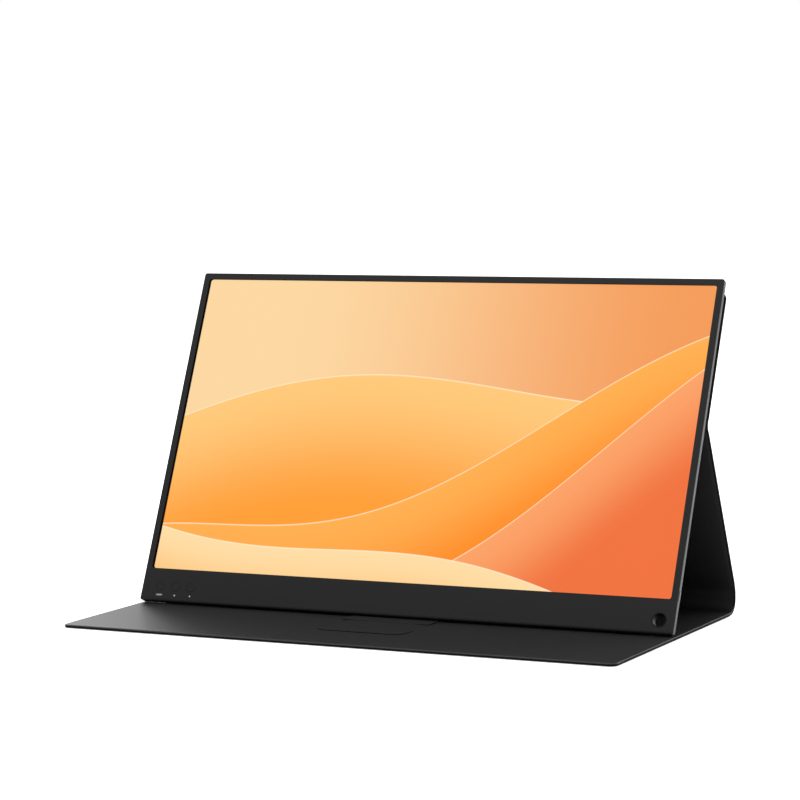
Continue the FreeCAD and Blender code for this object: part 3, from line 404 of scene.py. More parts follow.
def revolved(radii: Sequence[float], depths: Sequence[float], steps: int,
             shape: Carry | None = None) -> Surface:
    """A profile turned about the depth axis: (r*f(a)*cos a, depth, r*f(a)*sin a).

    Args:
        radii: the profile's distances from the axis.
        depths: its depths.
        steps: how many steps a full turn has.
        shape: the outline's own radius f as a function of the angle, 1 for a circle.

    Returns:
        The surface, closed round its axis, with the axis at the origin.
    """
    angle = np.linspace(0.0, FULL_TURN, steps, endpoint=False)
    reach = np.ones(steps) if shape is None else shape(angle)
    r = np.asarray(radii, float)[:, None] * reach[None, :]
    depth = np.repeat(np.asarray(depths, float)[:, None], steps, axis=1)
    points = np.stack([r * np.cos(angle), depth, r * np.sin(angle)], axis=-1).reshape(-1, 3)
    numbers = np.arange(len(points)).reshape(len(radii), steps)
    quads = grid_quads(np.concatenate([numbers, numbers[:, :1]], axis=1))
    return Surface(points, quads, points[:, [0, 2]] / MM, np.zeros(len(quads)))


# Finishes


def linear(colour: str) -> tuple[float, float, float, float]:
    """Turns an sRGB hex colour into linear light by the sRGB curve.

    Args:
        colour: six hex digits after a number sign.

    Returns:
        Red, green, blue and a full alpha.
    """
    parts = [int(colour[start:start + 2], 16) / 255.0 for start in (1, 3, 5)]
    red, green, blue = (v / 12.92 if v <= 0.04045 else ((v + 0.055) / 1.055) ** 2.4 for v in parts)
    return red, green, blue, 1.0


def add(tree: bpy.types.NodeTree, kind: str, inputs: dict[Any, Any] | None = None,
        **settings: Any) -> bpy.types.Node:
    """Adds a shader node with its settings and links.

    Args:
        tree: the material's or world's node tree.
        kind: the node's type.
        inputs: values or output sockets, by input name or number.
        settings: the node's own properties.

    Returns:
        The new node.
    """
    node = tree.nodes.new(kind)
    for name, value in settings.items():
        setattr(node, name, value)
    for name, value in (inputs or {}).items():
        if isinstance(value, bpy.types.NodeSocket):
            tree.links.new(value, node.inputs[name])
        else:
            node.inputs[name].default_value = value
    return node


def blank_material(name: str) -> tuple[bpy.types.Material, bpy.types.NodeTree]:
    """Makes a material with an empty node tree.

    Args:
        name: what the real material is.

    Returns:
        The material and its tree.
    """
    material = bpy.data.materials.new(name)
    material.use_nodes = True
    material.node_tree.nodes.clear()
    return material, material.node_tree


def per_metre(size_mm: float) -> float:
    """A pattern's scale on Object coordinates for a real size in millimetres."""
    return 1.0 / (size_mm * MM)


@dataclass(frozen=True)
class Finish:
    """A real surface: two close colours and a range of roughness, both drawn by patterns, over a relief."""

    name: str
    dark: str
    light: str
    roughness: tuple[float, float]

    def close(self, tree: bpy.types.NodeTree, tone: bpy.types.NodeSocket, gloss: dict[str, Any],
              relief: dict[str, Any], traits: dict[str, Any]) -> None:
        """Ends a material's tree with its colour, its roughness, its bump and the shader.

        Args:
            tree: the material's node tree.
            tone: the pattern that leads from the dark colour to the light one.
            gloss: the pattern that leads through the roughness and, unless they are 0 and 1, its limits.
            relief: the bump's height, strength and distance.
            traits: the shader's other values.
        """
        bump = add(tree, "ShaderNodeBump", relief)
        colour = add(tree, "ShaderNodeMix", {0: tone, 6: linear(self.dark), 7: linear(self.light)},
                     data_type="RGBA")
        rough = add(tree, "ShaderNodeMapRange",
                    {**gloss, "To Min": self.roughness[0], "To Max": self.roughness[1]})
        shader = add(tree, "ShaderNodeBsdfPrincipled", {
            "Base Color": colour.outputs[2], "Roughness": rough.outputs[0], "Normal": bump.outputs[0],
            **traits})
        add(tree, "ShaderNodeOutputMaterial", {"Surface": shader.outputs[0]})


@dataclass(frozen=True)
class LeatherFinish(Finish):
    """Leather-look sheet: a coated fabric with a pressed grain and a soft sheen, mapped along the sheet.

    The real grain is finer. It is drawn as coarse as it needs to be to show.
    """

    specular: float
    grain_mm: float
    relief_mm: float
    relief: float
    cloud_mm: float = 60.0
    unevenness: float = 0.9
    pores_per_grain: float = 2.2
    grain_rise: float = 0.8
    ior: float = 1.5

    def material(self) -> bpy.types.Material:
        """Pressed grain as cells with rounded tops, over slow clouds of colour and gloss.

        Returns:
            The finished material.
        """
        material, tree = blank_material(self.name)
        flat = add(tree, "ShaderNodeUVMap", uv_map=FLAT_MAP).outputs["UV"]
        grain = {"Vector": flat, "Scale": 1.0 / self.grain_mm, "Randomness": self.unevenness}
        cells = add(tree, "ShaderNodeTexVoronoi", grain, feature="SMOOTH_F1", voronoi_dimensions="2D")
        pores = {"Vector": flat, "Scale": self.pores_per_grain / self.grain_mm, "Detail": 3.0}
        fine = add(tree, "ShaderNodeTexNoise", pores, noise_dimensions="2D").outputs["Fac"]
        clouds = {"Vector": flat, "Scale": 1.0 / self.cloud_mm, "Detail": 2.0}
        cloud = add(tree, "ShaderNodeTexNoise", clouds, noise_dimensions="2D").outputs["Fac"]
        height = add(tree, "ShaderNodeMath", {0: cells.outputs["Distance"], 1: -self.grain_rise, 2: fine},
                     operation="MULTIPLY_ADD").outputs[0]
        self.close(tree, cloud, {"Value": fine},
                   {"Height": height, "Strength": self.relief, "Distance": self.relief_mm * MM},
                   {"Specular IOR Level": self.specular, "IOR": self.ior})
        return material


@dataclass(frozen=True)
class MouldedFinish(Finish):
    """Moulded plastic: a fine even grit from the mould, with slow changes of gloss.

    The real grit is finer. It is drawn as coarse as it needs to be to show.
    """

    specular: float
    grit_mm: float = 0.6
    relief_mm: float = 0.02
    relief: float = 0.15
    cloud_mm: float = 45.0
    gloss_limits: tuple[float, float] = (0.3, 0.7)
    ior: float = 1.5

    def material(self) -> bpy.types.Material:
        """Mould grit as bump, with colour and roughness that follow a slower noise.

        Returns:
            The finished material.
        """
        material, tree = blank_material(self.name)
        place = add(tree, "ShaderNodeTexCoord").outputs["Object"]
        grit, slow = (
            add(tree, "ShaderNodeTexNoise",
                {"Vector": place, "Scale": per_metre(size), "Detail": 2.0}).outputs["Fac"]
            for size in (self.grit_mm, self.cloud_mm))
        low, high = self.gloss_limits
        self.close(tree, slow, {"Value": slow, "From Min": low, "From Max": high},
                   {"Height": grit, "Strength": self.relief, "Distance": self.relief_mm * MM},
                   {"Specular IOR Level": self.specular, "IOR": self.ior})
        return material


@dataclass(frozen=True)
class MetalFinish(Finish):
    """Rolled, drawn or plated metal: fine lines along X and a little change of gloss.

    The real lines are finer. They are drawn as coarse as they need to be to show.
    """

    line_mm: float = 0.4
    relief_mm: float = 0.01
    relief: float = 0.1
    line_stretch: float = 0.05

    def material(self) -> bpy.types.Material:
        """Drawing lines as a noise stretched along X, in colour, roughness and bump.

        Returns:
            The finished material.
        """
        material, tree = blank_material(self.name)
        place = add(tree, "ShaderNodeTexCoord").outputs["Object"]
        stretched = add(tree, "ShaderNodeMapping", {"Vector": place, "Scale": (self.line_stretch, 1.0, 1.0)})
        lines = add(tree, "ShaderNodeTexNoise", {
            "Vector": stretched.outputs[0], "Scale": per_metre(self.line_mm), "Detail": 3.0}).outputs["Fac"]
        self.close(tree, lines, {"Value": lines},
                   {"Height": lines, "Strength": self.relief, "Distance": self.relief_mm * MM},
                   {"Metallic": 1.0})
        return material


@dataclass(frozen=True)
class Dune:
    """One soft hill of the screen's picture: its crest is level + slope*x + swing*sin(waves*x + phase)."""

    level: float
    slope: float
    swing: float
    waves: float
    phase: float
    crest: str
    body: str
    depth: float


@dataclass(frozen=True)
class ScreenFinish:
    """Lit display cell: a picture of warm rolling dunes behind a matt polariser, black outside the lit area.

    The picture's x and y run from the lower left corner in units of the picture's height.
    """

    name: str
    width_mm: float
    height_mm: float
    low_mm: float
    inset_mm: tuple[float, float] = (0.25, -0.2)
    shift_mm: tuple[float, float] = (0.4, 0.1)
    corner_mm: float = 1.7
    black: str = "#050505"
    roughness: float = 0.4
    specular: float = 0.1
    sky_left: str = "#FBD6A0"
    sky_right: str = "#F39A55"
    sky_start: float = 0.15
    rim: str = "#FFF0D2"
    rim_width: float = 0.006
    rim_share: float = 0.85
    crest_blur: float = 0.0015
    strength: float = 1.0
    dunes: tuple[Dune, ...] = (
        Dune(0.46, 0.16, 0.13, 2.3, 0.5, "#FFC878", "#FF9E30", 0.46),
        Dune(0.08, 0.36, 0.12, 2.9, 2.5, "#FFAE4C", "#FD860C", 0.38),
        Dune(-0.52, 0.66, 0.09, 3.6, 0.9, "#FBA164", "#F0713A", 0.36),
        Dune(0.20, -0.17, 0.06, 3.2, 4.3, "#FFDCA4", "#FAB65E", 0.26),
    )

    def _dune(self, tree: bpy.types.NodeTree, dune: Dune, x: bpy.types.NodeSocket, y: bpy.types.NodeSocket,
              behind: bpy.types.NodeSocket) -> bpy.types.NodeSocket:
        """Lays one dune over what is behind it, with a bright rim along its crest.

        Args:
            tree: the material's node tree.
            dune: the dune.
            x: the place across the picture.
            y: the place up the picture.
            behind: the colour behind the dune.

        Returns:
            The picture's colour with this dune in it.
        """
        turn = add(tree, "ShaderNodeMath", {0: x, 1: dune.waves, 2: dune.phase}, operation="MULTIPLY_ADD")
        wave = add(tree, "ShaderNodeMath", {0: turn.outputs[0]}, operation="SINE")
        line = add(tree, "ShaderNodeMath", {0: x, 1: dune.slope, 2: dune.level}, operation="MULTIPLY_ADD")
        crest = add(tree, "ShaderNodeMath", {0: wave.outputs[0], 1: dune.swing, 2: line.outputs[0]},
                    operation="MULTIPLY_ADD")
        under = add(tree, "ShaderNodeMath", {0: crest.outputs[0], 1: y}, operation="SUBTRACT").outputs[0]
        depth = add(tree, "ShaderNodeMapRange", {"Value": under, "From Max": dune.depth},
                    interpolation_type="SMOOTHSTEP")
        body = add(tree, "ShaderNodeMix", {0: depth.outputs[0], 6: linear(dune.crest), 7: linear(dune.body)},
                   data_type="RGBA")
        glow = add(tree, "ShaderNodeMapRange", {
            "Value": under, "From Max": self.rim_width, "To Min": self.rim_share, "To Max": 0.0},
            interpolation_type="SMOOTHSTEP")
        lit = add(tree, "ShaderNodeMix", {0: glow.outputs[0], 6: body.outputs[2], 7: linear(self.rim)},
                  data_type="RGBA")
        inside = add(tree, "ShaderNodeMapRange", {
            "Value": under, "From Min": -self.crest_blur, "From Max": self.crest_blur})
        return add(tree, "ShaderNodeMix", {0: inside.outputs[0], 6: behind, 7: lit.outputs[2]},
                   data_type="RGBA").outputs[2]

    def _picture(self, tree: bpy.types.NodeTree, x: bpy.types.NodeSocket,
                 y: bpy.types.NodeSocket) -> bpy.types.NodeSocket:
        """Layers the dunes over the sky, from far to near.

        Args:
            tree: the material's node tree.
            x: the place across the picture.
            y: the place up the picture.

        Returns:
            The picture's colour.
        """
        far = self.width_mm / self.height_mm
        across = {"Value": x, "From Min": self.sky_start * far, "From Max": far}
        side = add(tree, "ShaderNodeMapRange", across, interpolation_type="SMOOTHSTEP")
        sky = {0: side.outputs[0], 6: linear(self.sky_left), 7: linear(self.sky_right)}
        colour = add(tree, "ShaderNodeMix", sky, data_type="RGBA").outputs[2]
        for dune in self.dunes:
            colour = self._dune(tree, dune, x, y, colour)
        return colour

    def _lit_area(self, tree: bpy.types.NodeTree, x: bpy.types.NodeSocket,
                  y: bpy.types.NodeSocket) -> bpy.types.NodeSocket:
        """Tells the lit area, a rectangle with rounded corners, from the black round it.

        Args:
            tree: the material's node tree.
            x: the place across the picture.
            y: the place up the picture.

        Returns:
            1 where the distance from the inner rectangle is less than the corner's radius, else 0.
        """
        beyond = []
        limits = (self.width_mm / self.height_mm, 1.0)
        for value, limit, inset, offset in zip((x, y), limits, self.inset_mm, self.shift_mm):
            middle = limit / 2 + offset / self.height_mm
            straight = limit / 2 - (inset + self.corner_mm) / self.height_mm
            from_middle = add(tree, "ShaderNodeMath", {0: value, 1: middle}, operation="SUBTRACT")
            distance = add(tree, "ShaderNodeMath", {0: from_middle.outputs[0]}, operation="ABSOLUTE")
            over = add(tree, "ShaderNodeMath", {0: distance.outputs[0], 1: straight}, operation="SUBTRACT")
            least = add(tree, "ShaderNodeMath", {0: over.outputs[0], 1: 0.0}, operation="MAXIMUM")
            beyond.append(least.outputs[0])
        corner = add(tree, "ShaderNodeCombineXYZ", {0: beyond[0], 1: beyond[1]})
        away = add(tree, "ShaderNodeVectorMath", {0: corner.outputs[0]}, operation="LENGTH")
        radius = self.corner_mm / self.height_mm
        lit = add(tree, "ShaderNodeMath", {0: away.outputs["Value"], 1: radius}, operation="LESS_THAN")
        return lit.outputs[0]

    def material(self) -> bpy.types.Material:
        """The picture as light, inside the lit area with its rounded corners, on a black matt polariser.

        Returns:
            The finished material.
        """
        material, tree = blank_material(self.name)
        flat = add(tree, "ShaderNodeUVMap", uv_map=FLAT_MAP).outputs["UV"]
        shift = (self.width_mm / 2, -self.low_mm, 0.0)
        moved = add(tree, "ShaderNodeVectorMath", {0: flat, 1: shift}, operation="ADD")
        scaled = add(tree, "ShaderNodeVectorMath", {0: moved.outputs[0], "Scale": 1.0 / self.height_mm},
                     operation="SCALE")
        parts = add(tree, "ShaderNodeSeparateXYZ", {0: scaled.outputs[0]})
        x, y = parts.outputs[0], parts.outputs[1]
        lit = self._lit_area(tree, x, y)
        picture = self._picture(tree, x, y)
        light = add(tree, "ShaderNodeVectorMath", {0: picture, "Scale": lit}, operation="SCALE")
        shader = add(tree, "ShaderNodeBsdfPrincipled", {
            "Base Color": linear(self.black), "Roughness": self.roughness,
            "Specular IOR Level": self.specular, "Emission Color": light.outputs[0],
            "Emission Strength": self.strength})
        add(tree, "ShaderNodeOutputMaterial", {"Surface": shader.outputs[0]})
        return material


class Cover(Enum):
    """Finishes of the folding cover."""

    # Polyurethane-coated fabric, grain pressed with a hot roller: fine pebbles with a soft broken sheen.
    SKIN = LeatherFinish("pressed_pu_leather", "#151413", "#1A1918", (0.42, 0.54), 0.32, 1.3, 0.10, 0.35)
    # The same coating pressed nearly smooth: a calm dark face with a long soft sheen at low angles.
    LINING = LeatherFinish("smooth_pu_leather", "#0B0A0A", "#0F0E0E", (0.38, 0.48), 0.58, 0.9, 0.04, 0.18)
    # Cut edge sealed with matt edge paint: a dead black line that closes the sheet.
    # It is drawn near black partly as painted shade: the contact shadow on the rims' lower halves, the dark rims
    # past the rear fold, and the shadow lines round the foot stop.
    EDGE_PAINT_AND_SHADE = LeatherFinish("edge_paint_and_painted_shade", "#040404", "#070707", (0.62, 0.74), 0.05, 0.6, 0.03, 0.20)


# One finish for each material slot of the record whose CAD nodes stay in view or stay inside.
SLOT_FINISHES: dict[str, MouldedFinish | MetalFinish] = {
    # ABS from a spark-eroded mould: an even matt black that shows no grain at arm's length.
    "bezel": MouldedFinish("matt_black_abs", "#0E0E0E", "#121212", (0.42, 0.50), 0.175),
    # ABS from an etched mould: a fine sandy texture, with brighter lines where the walls turn.
    "rear_shell": MouldedFinish("etched_black_abs", "#141415", "#19191A", (0.34, 0.42), 0.38, grit_mm=0.8,
                                relief=0.2),
    # Extruded polyester and acrylic sheet: clear to milky white with a clean gloss.
    "film": MouldedFinish("clear_and_white_film", "#DDE0E0", "#F0F2F2", (0.2, 0.3), 0.5, relief=0.05),
    # Rolled sheet: faint straight lines in a soft grey shine.
    "tray_metal": MetalFinish("rolled_aluminium", "#A9ABAD", "#C6C8CA", (0.35, 0.5)),
    # Epoxy-glass board under lacquer: deep green with a wet gloss.
    "circuit_board": MouldedFinish("green_solder_mask", "#153C29", "#1F5138", (0.25, 0.35), 0.5, relief=0.05),
    # Polyimide film over copper: warm amber, glossy.
    "flat_cable": MouldedFinish("amber_polyimide", "#96591B", "#B5742C", (0.2, 0.3), 0.5, relief=0.05),
    # Deep-drawn steel shells, plated: bright with short drawing lines.
    "port_metal": MetalFinish("drawn_steel", "#A4A4A2", "#C4C4C1", (0.25, 0.4)),
    # Nylon moulding: black with a dull shine.
    "socket_black": MouldedFinish("black_nylon", "#0F0F0F", "#151515", (0.3, 0.4), 0.5),
    # Stamped steel: grey with a broad shine.
    "switch_metal": MetalFinish("stamped_steel", "#989896", "#B6B6B3", (0.3, 0.45)),
    # ABS in the same mould texture as the frame: the keys all but vanish in it.
    "key_black": MouldedFinish("matt_key_abs", "#0E0E0E", "#121212", (0.42, 0.50), 0.175),
    # ABS from a blasted mould: satin, a touch lighter than the wall round it.
    "button_black": MouldedFinish("satin_dark_abs", "#151618", "#1B1C1E", (0.25, 0.32), 0.5),
    # Plain ABS: dull black.
    "speaker_black": MouldedFinish("plain_black_abs", "#111111", "#161616", (0.4, 0.5), 0.5),
    # ABS from a blasted mould: black with a soft crescent of light inside the hole. It is drawn blacker than the
    # frame round it as painted shade inside the hole.
    "sleeve_black": MouldedFinish("satin_black_abs_hole_shade", "#070707", "#0A0A0A", (0.38, 0.46), 0.16, relief=0.03),
    # Steel with black zinc plating: dark metal with a small glint.
    "screw_steel": MetalFinish("black_zinc_steel", "#2A2A2C", "#3A3A3D", (0.3, 0.45)),
    # Plain cold-rolled steel: mid grey with straight lines.
    "keeper_steel": MetalFinish("cold_rolled_steel", "#7F8082", "#9C9DA0", (0.35, 0.5)),
    # Nickel plating on a pressed magnet: bright, slightly warm mirror.
    "magnet": MetalFinish("nickel_plate", "#A7AAAE", "#C3C6CA", (0.15, 0.25)),
    # Foamed acrylic: flat grey.
    "tape": MouldedFinish("acrylic_foam_tape", "#434341", "#51514E", (0.6, 0.7), 0.3),
}
# Pad-printed ink: light grey, flat, with a slightly uneven edge of tone.
PRINT_GREY = MouldedFinish("grey_pad_print", "#A8A8A8", "#BEBEBE", (0.50, 0.60), 0.3, relief=0.03)
# Cell glass with its black mask under a matt polariser: deep black with a wide, faint sheen.
BLACK_GLASS = MouldedFinish("matt_polarised_glass", "#050505", "#080808", (0.40, 0.46), 0.12, grit_mm=0.3,
                            relief=0.05)


# The folding cover


@dataclass
class Leg:
    """One stretch of the cover's middle line: its start, its way there, and its turn if it is an arc."""

    start: float
    length: float
    point: np.ndarray
    along: np.ndarray
    turn: float = 0.0


@dataclass
class StandPath:
    """The cover's middle line, seen from the side: straight panels joined by arcs at three hinges.

    Each arc touches the two panels at the reach from the hinge, so its radius is reach / tan(turn / 2).
    Places are lengths along the line from the base's front edge.
    """

    thickness: float = 2.0 * MM
    rear_reach: float = 8.5 * MM
    lower_reach: float = 2.5 * MM
    top_reach: float = 3.0 * MM
    attach_length: float = 84.9 * MM
    legs: list[Leg] = field(init=False, default_factory=list)

    def __post_init__(self) -> None:
        """Works out the straight runs and the arcs between them."""
        press = np.array(joint_facts(Joint.KEY)["axis"][1:], float)
        self.up_display = np.array([-press[1], press[0]])
        self.rear, self.lower, self.top = (hinge_point(item) for item in (Joint.REAR, Joint.LOWER, Joint.TOP))
        front = np.array([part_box("base_skin")[0].y, self.rear[1]])
        corners = [front, self.rear, self.lower, self.top, self.top + self.up_display * self.attach_length]
        reaches = [0.0, self.rear_reach, self.lower_reach, self.top_reach, 0.0]
        directions = [(b - a) / np.linalg.norm(b - a) for a, b in zip(corners, corners[1:])]
        place = 0.0
        for index, along in enumerate(directions):
            start = corners[index] + along * reaches[index]
            length = np.linalg.norm(corners[index + 1] - corners[index]) - reaches[index] - reaches[index + 1]
            self.legs.append(Leg(place, length, start, along))
            place += length
            if index + 1 == len(directions):
                break
            following = directions[index + 1]
            turn = math.atan2(along[0] * following[1] - along[1] * following[0], float(along @ following))
            arc = abs(turn) * reaches[index + 1] / math.tan(abs(turn) / 2)
            self.legs.append(Leg(place, arc, start + along * length, along, turn))
            place += arc
        self.length = place

    def span(self, leg: int) -> tuple[float, float]:
        """The places where a leg starts and ends; legs 0, 2, 4 and 6 are panels, 1, 3 and 5 are folds."""
        item = self.legs[leg]
        return item.start, item.start + item.length

    def place(self, points: np.ndarray) -> np.ndarray:
        """Carries points from (x, s, n) along the line: P(s) + n*N(s), with N to the inside of the cover.

        Args:
            points: rows of across, along and height over the middle line.

        Returns:
            Rows of x, y and z in the row frame.
        """
        s, n = points[:, 1], points[:, 2]
        middle = np.zeros((len(points), 2))
        along = np.zeros((len(points), 2))
        last = len(self.legs) - 1
        for index, leg in enumerate(self.legs):
            low, high = self.span(index)
            here = (s >= low if index else s < np.inf) & (s < high if index < last else s < np.inf)
            t = s[here] - low
            if leg.turn == 0.0:
                middle[here] = leg.point + t[:, None] * leg.along
                along[here] = leg.along
                continue
            left = np.array([-leg.along[1], leg.along[0]])
            angle = (t / leg.length * leg.turn)[:, None]
            radius = leg.length / leg.turn
            middle[here] = leg.point + radius * (np.sin(angle) * leg.along + (1.0 - np.cos(angle)) * left)
            along[here] = np.cos(angle) * leg.along + np.sin(angle) * left
        inside = np.stack([-along[:, 1], along[:, 0]], axis=-1)
        flat = middle + n[:, None] * inside
        return np.concatenate([points[:, :1], flat], axis=1)


@dataclass
class FoldingCover:
    """The cover as three sheets, each with one soft fold, cut across the strut and across the spine."""

    path: StandPath
    half_width: float = 176.85 * MM
    shift: float = 0.2 * MM
    edge_radius: float = 0.7 * MM
    side_radius: float = 0.4 * MM
    panel_radius: float = 0.3 * MM
    outer_radius: float = 0.25 * MM
    base_corner: float = 5.0 * MM
    attach_corner: float = 5.0 * MM
    inner_drop: float = 0.10 * MM
    outer_drop: float = 0.06 * MM
    rim_width: float = 3.0 * MM
    rim_shares: tuple[float, ...] = (0.08, 0.16, 0.26, 0.38, 0.5, 0.62, 0.74, 0.86, 1.0, 1.15)
    inner_share: float = 1.4
    inner_columns: int = 14
    fold_thickness: float = 1.6 * MM
    fold_ramp: float = 2.6 * MM
    ramp_share: float = 1.5
    crease_depth: float = 0.12 * MM
    crease_width: float = 1.1 * MM
    sheet_rows: int = 15
    fold_rows: int = 25
    ramp_rows: int = 13

    def _columns(self) -> np.ndarray:
        """Where the columns stand: close together near the two sides, where the rim slopes down.

        Returns:
            Shares of half the grid's width, on both sides of the middle.
        """
        grid_half = self.half_width - self.edge_radius
        side = grid_half - self.rim_width * np.array([0.0, *self.rim_shares])
        inner = np.linspace(0.0, grid_half - self.inner_share * self.rim_width, self.inner_columns)
        half = np.concatenate([inner, side]) / grid_half
        return np.concatenate([-half, half])

    def _soft(self, s: np.ndarray) -> np.ndarray:
        """How soft the sheet is: 1 in the folds and the spine, 0 in the stiff panels, by smooth steps.

        Args:
            s: places along.

        Returns:
            The softness at each place.
        """
        rear_start, rear_end = self.path.span(1)[0], self.path.span(3)[1]
        softness = np.zeros_like(s)
        for low, high in ((rear_start, rear_end), self.path.span(5)):
            rise = smooth(low - self.fold_ramp, low, s)
            softness = np.maximum(softness, rise * (1.0 - smooth(high, high + self.fold_ramp, s)))
        return softness

    def _inner_radius(self, s: np.ndarray) -> np.ndarray:
        """The rim's radius on the lined side: wide in front, less along the sides, least past the rear fold.

        Args:
            s: places along.

        Returns:
            The radius at each place.
        """
        side = (self.side_radius - self.edge_radius) * smooth(self.base_corner, 2 * self.base_corner, s)
        panel = (self.panel_radius - self.side_radius) * smooth(*self.path.span(1), s)
        return self.edge_radius + side + panel

    def _crease(self, s: np.ndarray) -> np.ndarray:
        """Shallow pressed lines in the outside face where the stiff panels end, as bells exp(-t*t).

        Args:
            s: places along.

        Returns:
            The lines' depth at each place.
        """
        ends = [self.path.span(leg)[side] for leg, side in ((0, 1), (4, 0), (4, 1), (6, 0))]
        bells = [np.exp(-((s - end) / (self.crease_width / 2)) ** 2) for end in ends]
        return self.crease_depth * np.sum(bells, axis=0)

    def _rows(self, start: float, end: float) -> np.ndarray:
        """Where the rows lie: close together at the free ends and through the soft folds.

        Args:
            start: where the sheet starts along the path.
            end: where it ends.

        Returns:
            Places along, in rising order.
        """
        near = self.rim_width * np.array(self.rim_shares)
        places = [np.linspace(start, end, self.sheet_rows), start + near, end - near]
        ramp = np.linspace(0.0, self.ramp_share * self.fold_ramp, self.ramp_rows)
        for leg in (1, 3, 5):
            low, high = self.path.span(leg)
            places += [np.linspace(low, high, self.fold_rows), low - ramp, high + ramp]
        return np.unique(np.concatenate(places))

    def sheet(self, name: str, start: float, end: float, start_corner: float,
              end_corner: float) -> bpy.types.Object:
        """Builds one sheet of the cover.

        Args:
            name: the piece's name.
            start: where it starts along the path.
            end: where it ends.
            start_corner: radius of the free corners at the start, 0 where it is cut.
            end_corner: the same at the end.

        Returns:
            The piece, with its inside face lined, its outside in the skin, which is turned in round the base,
            and near-black edge paint on the rim's lower half and on the whole rim past the rear fold, partly
            painted shade.
        """
        half = self.path.thickness / 2
        thin = self.path.thickness - self.fold_thickness
        # The rim's lower half, and past the rear fold the whole rim, takes the near-black edge paint, which is
        # partly painted shade: the contact shadow along the floor and the dark rims of the standing panels.
        slab = Slab(self.half_width, start, end, flat_height(half), flat_height(-half), self.edge_radius,
                    start_corner, end_corner, start_corner > 0, end_corner > 0, self._rows(start, end),
                    self._columns(), finishes=(1, 0, 0, 2), upper_radius=self._inner_radius,
                    lower_radius=self.outer_radius, rim_switch=sum(self.path.span(1)) / 2)

        def rim(x: np.ndarray, s: np.ndarray) -> np.ndarray:
            """How near points are to the rim, by a smooth step: 1 on it, 0 from the rim's width inwards."""
            return 1.0 - smooth(0.0, self.rim_width, slab.edge_distance(x, s))

        def inside(x: np.ndarray, s: np.ndarray) -> np.ndarray:
            """The lining's height: level through the folds, a little lower towards the panels' rims."""
            return half - self.inner_drop * rim(x, s) * (1.0 - self._soft(s))

        def outside(x: np.ndarray, s: np.ndarray) -> np.ndarray:
            """The skin's height: sunk in the folds, pressed in at the panels' ends, lower at the rim."""
            soft = self._soft(s)
            return -half + thin * soft + self.outer_drop * rim(x, s) * (1.0 - soft) + self._crease(s)

        slab.top, slab.bottom = inside, outside
        surface = slab.surface()
        surface.points[:, 0] += self.shift
        return new_piece(name, surface.placed(self.path.place),
                         [choice.value.material() for choice in (Cover.SKIN, Cover.LINING, Cover.EDGE_PAINT_AND_SHADE)])

    def build(self) -> None:
        """Builds the three sheets, each curved round its hinge in the shape the path has now, and hides the nodes
        they replace.
        """
        path = self.path
        spine_middle = sum(path.span(2)) / 2
        strut_middle = sum(path.span(4)) / 2
        strut_up = (path.top - path.lower) / np.linalg.norm(path.top - path.lower)
        plan = (
            ("base_cover", 0.0, spine_middle, self.base_corner, 0.0, Body.BASE, Body.SPINE, path.rear,
             np.array([-1.0, 0.0]), np.array([0.0, 1.0]), path.rear_reach,
             ("base_skin", "base_board", "base_lining", "rear_fold")),
            ("lower_cover", spine_middle, strut_middle, 0.0, 0.0, Body.SPINE, Body.STRUT, path.lower,
             np.array([0.0, -1.0]), strut_up, path.lower_reach, ("spine_skin", "spine_lining", "lower_fold")),
            ("upper_cover", strut_middle, path.length, 0.0, self.attach_corner, Body.STRUT, Body.MONITOR,
             path.top, -strut_up, path.up_display, path.top_reach,
             ("strut_skin", "strut_board", "strut_lining", "top_fold", "attach_skin", "attach_board",
              "attach_lining")),
        )
        for name, start, end, first, second, near, far, hinge, back, ahead, reach, nodes in plan:
            piece = self.sheet(name, start, end, first, second)
            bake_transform(piece)
            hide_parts(*nodes)


